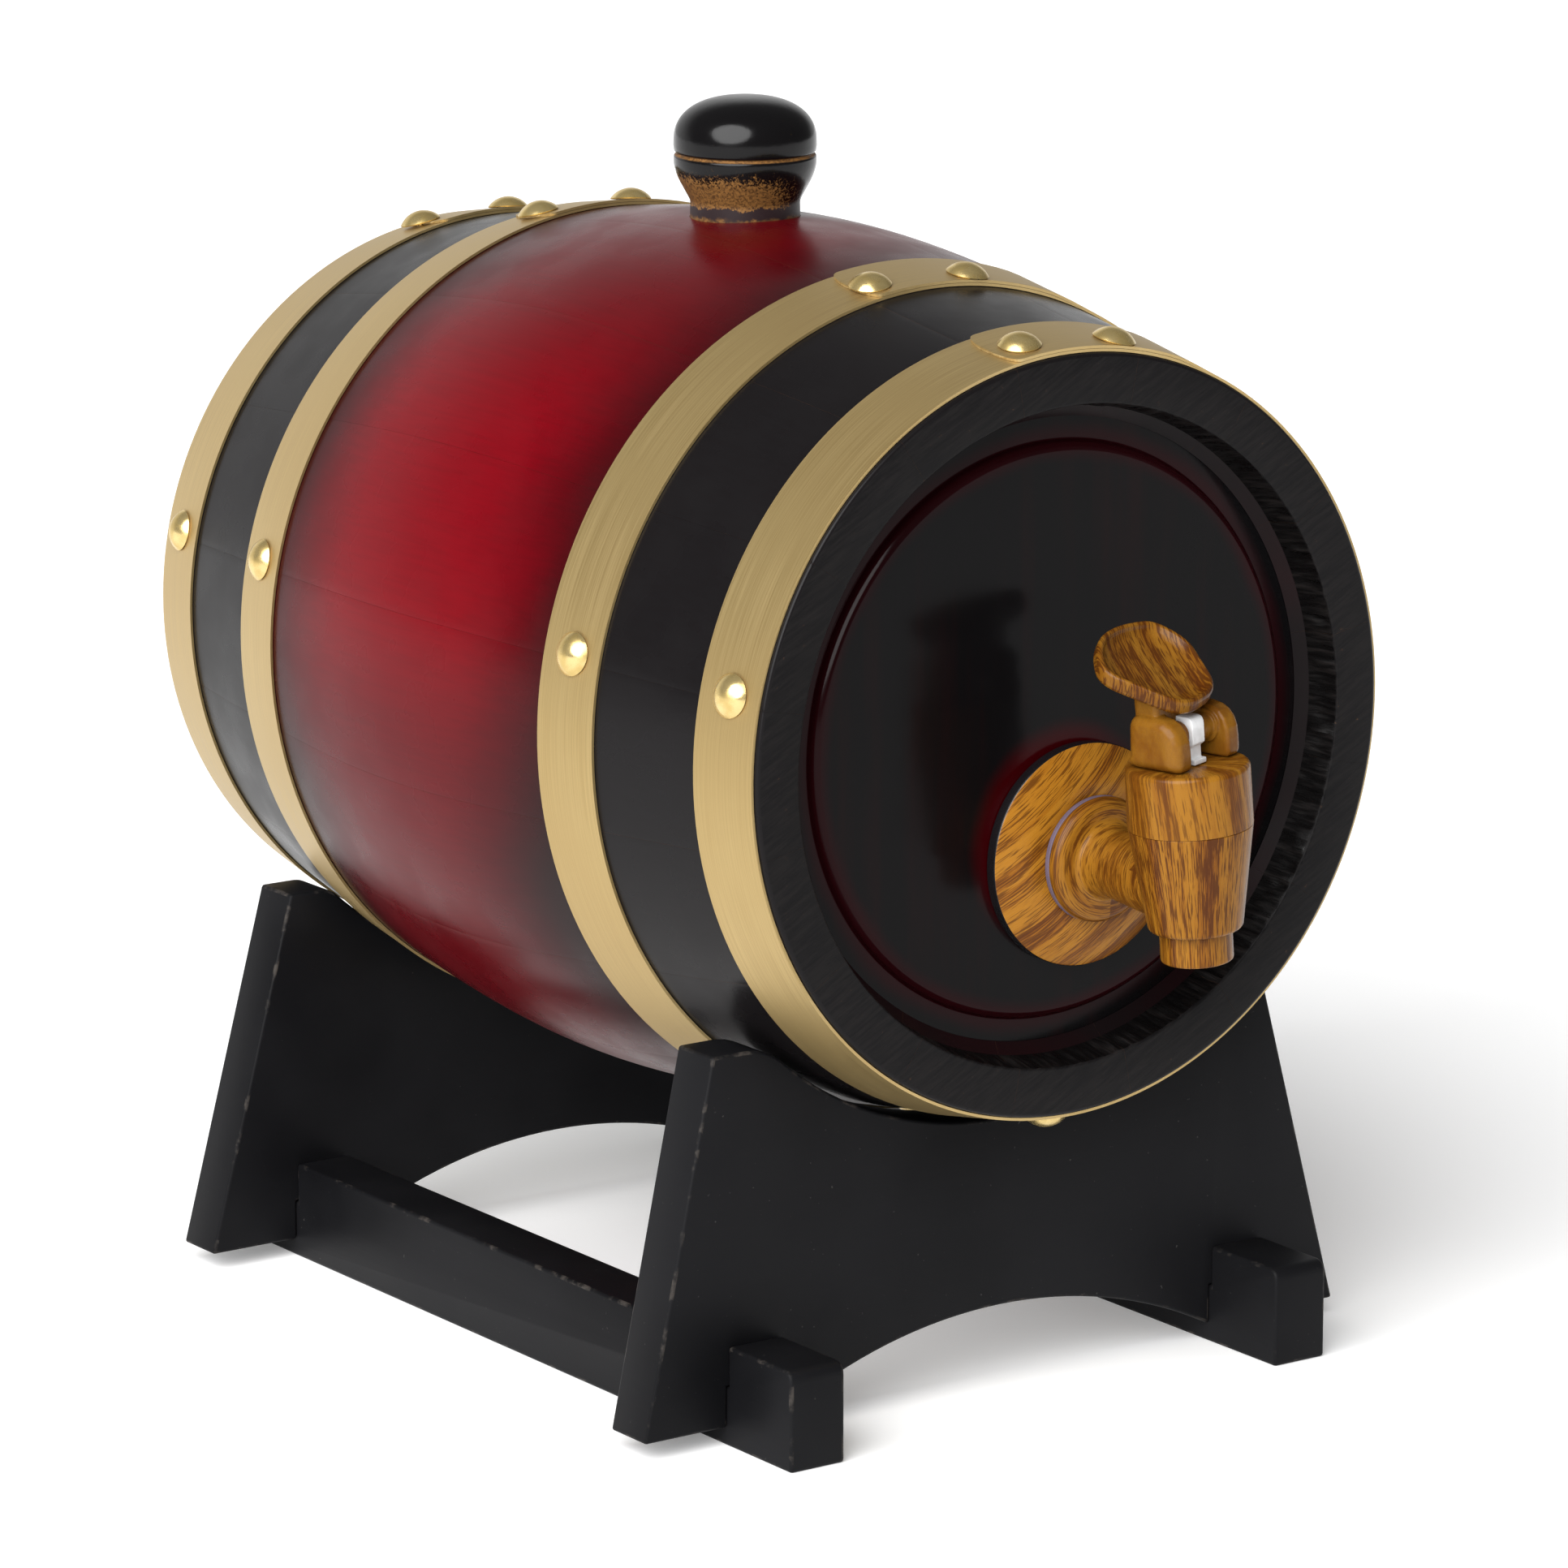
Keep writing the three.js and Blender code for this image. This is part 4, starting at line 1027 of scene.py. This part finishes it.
def flat(x, y, depth):
    """Places an outline in (X, Y) at Z = depth."""
    return (x, y, depth)


def lever():
    """Two soft ears, a neck and a dished paddle, melted into one moulding about the axle."""
    rim = cam_rim()
    ear = rounded(
        mm(
            (-6.0, rim[0][1], 1.6),
            *rim,
            (8.3, -5.0, 0.9), (8.0, 5.0, 3.0), (1.5, 4.9, 1.0), (-6.2, 4.4, 7.2),
        ),
        closed=True,
    )
    neck = rounded(mm((1.0, 3.0), (7.4, 3.0), (8.0, 12.8), (0.6, 8.6)), closed=True)
    shells = [moulded("neck", neck, rounded_over(-8.3 * MM, 8.3 * MM, 1.2 * MM), across), paddle()]
    for inner, outer in ((-5.3 * MM, -10.5 * MM), (6.7 * MM, 12.0 * MM)):
        side = math.copysign(MM, inner)
        shells.append(moulded("ear", ear, pillow(inner, outer, 0.5 * MM, 2.4 * MM), across))
        shells.append(rod_x("shoulder", 3.8 * MM, inner - 0.8 * side, inner + side))
        shells.append(rod_x("boss", 3.0 * MM, 2.3 * side, inner + side))
    whole = remesh(join(shells), 0.22 * MM, 5)
    combine(whole, rod_x("hole", 2.3 * MM, -8.0 * MM, 8.0 * MM))
    whole.name = "tap_lever_moulding"
    return in_tap(smooth(whole, 50), LEVER_FRAME)


def pillow(inner, outer, inner_ease, outer_ease):
    """An ear's profile: nearly sharp towards the stem, generously rounded outside."""
    steps = 8
    side = math.copysign(1, outer)
    profile = [(inner_ease, inner), (0, inner + side * inner_ease)]
    for i in range(steps + 1):
        turn = math.pi / 2 * i / steps
        depth = outer - side * outer_ease * (1 - math.sin(turn))
        profile.append((outer_ease * (1 - math.cos(turn)), depth))
    return profile


def paddle():
    """A thumb rest: round over the axle, square-shouldered behind, with a rim round its dish."""
    outline = rounded(
        mm(
            (-6.6, -0.6, 5.5), (6.6, -0.6, 5.5), (15.4, 14.0, 4.0), (13.6, 22.6, 3.5),
            (3.6, 26.6, 9.0), (-6.8, 25.2, 8.0), (-14.8, 17.6, 5.0),
        ),
        closed=True,
        steps=7,
    )
    profile = mm(
        (1.2, 0), (0.4, 0.3), (0, 1.1), (0, 3.2), (0.3, 3.8), (0.8, 4.0), (1.3, 3.8), (1.8, 2.9),
        (2.8, 2.1), (5.0, 1.4), (8.5, 1.1),
    )
    piece = moulded("paddle", outline, profile, flat)
    piece.data.transform(
        Matrix.Translation(PADDLE_FOOT)
        @ Matrix.Rotation(PADDLE_TILT, 4, "X")
        @ Matrix.Rotation(PADDLE_TURN, 4, "Z")
    )
    return piece


def lever_part(centre):
    """The paddle is grained; the ears and neck are the plain lighter plastic."""
    rise = centre.z - PADDLE_FOOT.z - (centre.y - PADDLE_FOOT.y) * math.tan(PADDLE_TILT)
    return 0 if rise > -0.1 * MM else 1


upright_grain = woodgrain("upright_grain", (0, 0, 0), (1, 0.06, 0.06), 0.89, 1.15, 0.31, wrap="Z")
bonnet_grain = woodgrain("bonnet_grain", (0, 0.12, 0), (1, 0.1, 0.055), 0.89, 0.85, 0.12, wrap="Z")
plate_grain = woodgrain("plate_grain", (0, math.radians(33), 0), (0.045, 0.03, 1), 0.98, 1.0, 0.5)
ring_grain = woodgrain("ring_grain", (0, 0, 0), (0.07, 1, 1), 0.88, 1.0, 0.77, wrap="Y")
paddle_grain = woodgrain("paddle_grain", (0, 0, math.radians(25)), (1, 0.06, 0.1), 0.8, 1.1, 0.9)
ear_plastic = woodgrain("ear_plastic", (0, 0, 0), (0.5, 0.5, 0.3), 0.79, 0.12, 0.2)
plate_edge = plain("plate_edge", srgb(20, 20, 22), 0.22)
seal_rubber = plain("seal_rubber", srgb(98, 84, 100), 0.6)
white_plastic = plain("white_plastic", srgb(232, 233, 234), 0.35)
spring_wire = plain("spring_wire", srgb(190, 192, 196), 0.25, metallic=1.0)


def backplate_part(centre):
    """The straight side wall is black; the domed front is grained."""
    return 1 if math.hypot(centre.x, centre.z) > 25.0 * MM else 0


plate_looks = [plate_grain, plate_edge]
show(backplate(), "barrel", ["tap_backplate"], plate_looks, backplate_part)
flange_washer = washer("tap_flange_washer_ring", 8.3, 14.1, 6.65, 7.95)
show(flange_washer, "barrel", ["tap_flange_washer"], [seal_rubber])
show(tap_body(), "barrel", ["tap_body"], [upright_grain, ring_grain], tap_body_part)
show(bonnet(), "barrel", ["tap_bonnet"], [bonnet_grain])
show(stem(), "stem", ["tap_stem"], [white_plastic])
show(lever(), "lever", ["tap_lever"], [paddle_grain, ear_plastic], lever_part)
coil = show(spring(), "spring", ["tap_spring"], [spring_wire])
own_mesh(coil)
# The pieces out of sight keep their CAD meshes and take the right materials.
HIDDEN_NODES = {
    "tap_inner_washer": seal_rubber,
    "tap_valve_seal": seal_rubber,
    "tap_lock_nut": white_plastic,
}
for node, material in HIDDEN_NODES.items():
    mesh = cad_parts[node].data
    mesh.materials.clear()
    mesh.materials.append(material)

# ------------ stand

RAIL_X = middle("right_rail").x
RAIL_WIDTH = size("right_rail").x
RAIL_HEIGHT = size("right_rail").z
CRADLE_RADIUS = 92.5 * MM
CRADLE_Z = 155.8 * MM
ARCH_HEIGHT = 15.1 * MM
HORN_FLAT = 8.4 * MM
LAP_GAP = 0.1 * MM


def arc(centre_x, centre_z, radius, start, end, steps):
    """Points on an arc; angles in radians, drawn from start to end."""
    turns = [start + (end - start) * i / steps for i in range(steps + 1)]
    return [(centre_x + radius * math.cos(t), centre_z + radius * math.sin(t)) for t in turns]


def finish_board(piece, node, width):
    """Eases a board's edges, with the paint rubbed on them, and puts it on the stand."""
    piece.data.materials.append(black_paint)
    piece.data.materials.append(rubbed_paint)
    bevel(piece, width, 3, 40, material=1)
    show(smooth(piece, 40), "stand", [node], [])


def cradle_plate(node, left_horn, right_horn):
    """A plate with a cradle and an arch; each horn is given by its distance from the middle."""
    low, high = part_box(node)
    bottom, top, foot = low.z, high.z, high.x
    rail_outer = RAIL_X + RAIL_WIDTH / 2 + LAP_GAP
    rail_inner = RAIL_X - RAIL_WIDTH / 2 - LAP_GAP
    lap_top = (bottom + RAIL_HEIGHT) / 2 + LAP_GAP
    drop = CRADLE_Z - top
    arch_radius = (rail_inner**2 + ARCH_HEIGHT**2) / (2 * ARCH_HEIGHT)
    arch_angle = math.asin(rail_inner / arch_radius)
    arch_z = bottom + ARCH_HEIGHT - arch_radius
    up = math.pi / 2

    def corner(horn):
        """The rounded corner between a horn's flat top and the cradle: its centre, radius, end."""
        inner = horn - HORN_FLAT
        radius = (inner**2 / (CRADLE_RADIUS - drop) - CRADLE_RADIUS - drop) / 2
        return inner, radius, math.atan2(-drop - radius, inner)

    right_flat, right_radius, right_touch = corner(right_horn)
    left_flat, left_radius, left_touch = corner(left_horn)
    outline = [
        (rail_outer, bottom), (foot, bottom), (right_horn, top),
        *arc(right_flat, top - right_radius, right_radius, up, math.pi + right_touch, 10),
        *arc(0, CRADLE_Z, CRADLE_RADIUS, right_touch, -math.pi - left_touch, 48)[1:],
        *arc(-left_flat, top - left_radius, left_radius, -left_touch, up, 10)[1:],
        (-left_horn, top), (-foot, bottom), (-rail_outer, bottom), (-rail_outer, lap_top),
        (-rail_inner, lap_top),
        *arc(0, arch_z, arch_radius, up + arch_angle, up - arch_angle, 32),
        (rail_inner, lap_top), (rail_outer, lap_top),
    ]
    piece = extrude(node + "_board", outline, low.y, high.y, lambda x, z, depth: (x, depth, z))
    finish_board(piece, node, 0.7 * MM)


def rail(node):
    """A bar along the barrel, notched from above where the plates cross it."""
    low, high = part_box(node)
    lap_bottom = (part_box("front_cradle_plate")[0].z + RAIL_HEIGHT) / 2 - LAP_GAP
    ease = 3.0 * MM
    outline = [(low.y, 0), (high.y, 0), (high.y, high.z, ease)]
    side_gap = 0.12 * MM
    for plate in ("rear_cradle_plate", "front_cradle_plate"):
        near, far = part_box(plate)[0].y - side_gap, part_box(plate)[1].y + side_gap
        outline += [(far, high.z), (far, lap_bottom), (near, lap_bottom), (near, high.z)]
    outline.append((low.y, high.z, ease))
    piece = extrude(node + "_bar", rounded(outline, closed=True), low.x, high.x, across)
    finish_board(piece, node, 0.8 * MM)


black_paint = stand_paint("stand_paint", False)
rubbed_paint = stand_paint("stand_paint_rubbed", True)
cradle_plate("front_cradle_plate", 78.7 * MM, 73.6 * MM)
cradle_plate("rear_cradle_plate", 75.4 * MM, 75.4 * MM)
rail("left_rail")
rail("right_rail")

# ------------ camera, floor and light

AZIMUTH = math.radians(-35.247)
ELEVATION = math.radians(12.867)
DISTANCE = 1.72
LENS = 170.52  # mm, on a 36 mm sensor
SENSOR = 36
TARGET = Vector((-0.0011, BARREL_MIDDLE - 0.0145, 0.1248))


def add_camera():
    """The camera that took the photo, looking at TARGET."""
    level = math.cos(ELEVATION)
    back = Vector((math.sin(AZIMUTH) * level, -math.cos(AZIMUTH) * level, math.sin(ELEVATION)))
    camera = bpy.data.objects.new("camera", bpy.data.cameras.new("camera"))
    camera.data.sensor_width = SENSOR
    camera.data.lens = LENS
    camera.location = TARGET + DISTANCE * back
    camera.rotation_euler = (math.pi / 2 - ELEVATION, 0, AZIMUTH)
    bpy.context.scene.collection.objects.link(camera)
    bpy.context.scene.camera = camera


def add_floor():
    """A broad white floor, a little self-lit."""
    half = 8.0
    corners = [(-half, -half, 0), (half, -half, 0), (half, half, 0), (-half, half, 0)]
    floor = mesh_piece("floor", corners, [(0, 1, 2, 3)])
    paint = Paint("floor_paint", Specular_IOR_Level=0.1, Roughness=0.9, Emission_Strength=0.2)
    paint.set(paint.shader.inputs["Emission Color"], (1, 1, 1, 1))
    paint.color(srgb(250, 250, 250))
    floor.data.materials.append(paint.material)


SUN_PLACE = Vector((-0.72, -0.40, 0.57))  # the direction the light comes from
SUN_STRENGTH = 5.4
SUN_SPREAD = math.radians(60)  # broad, for soft shadows
BACKDROP_SIDE = (0.25, 0.83, -0.5)  # the direction in which the backdrop stands
ROOM_LIGHT = 0.13
BACKDROP_LIGHT = 0.8


def add_sun():
    """One broad light from high on the left."""
    light = bpy.data.lights.new("high_left", "SUN")
    light.energy = SUN_STRENGTH
    light.angle = SUN_SPREAD
    lamp = bpy.data.objects.new("high_left", light)
    lamp.location = SUN_PLACE
    lamp.rotation_euler = (-SUN_PLACE).to_track_quat("-Z", "Y").to_euler()
    bpy.context.scene.collection.objects.link(lamp)


def add_world():
    """A dim room with a broad white backdrop behind the barrel, fading out at its sides."""
    world = bpy.data.worlds.new("studio")
    world.use_nodes = True
    tree = world.node_tree
    towards = tree.nodes.new("ShaderNodeTexCoord").outputs["Generated"]
    facing = tree.nodes.new("ShaderNodeVectorMath")
    facing.operation = "DOT_PRODUCT"
    facing.inputs[1].default_value = BACKDROP_SIDE
    tree.links.new(towards, facing.inputs[0])
    fade = tree.nodes.new("ShaderNodeMapRange")
    fade.interpolation_type = "SMOOTHSTEP"
    ends = {"From Min": 0.2, "From Max": 0.62, "To Min": ROOM_LIGHT, "To Max": BACKDROP_LIGHT}
    for socket, value in ends.items():
        fade.inputs[socket].default_value = value
    tree.links.new(facing.outputs["Value"], fade.inputs["Value"])
    background = tree.nodes["Background"]
    background.inputs["Color"].default_value = (1, 1, 1, 1)
    tree.links.new(fade.outputs["Result"], background.inputs["Strength"])
    bpy.context.scene.world = world


add_camera()
add_floor()
add_world()
add_sun()
bpy.context.scene.view_settings.view_transform = "Standard"
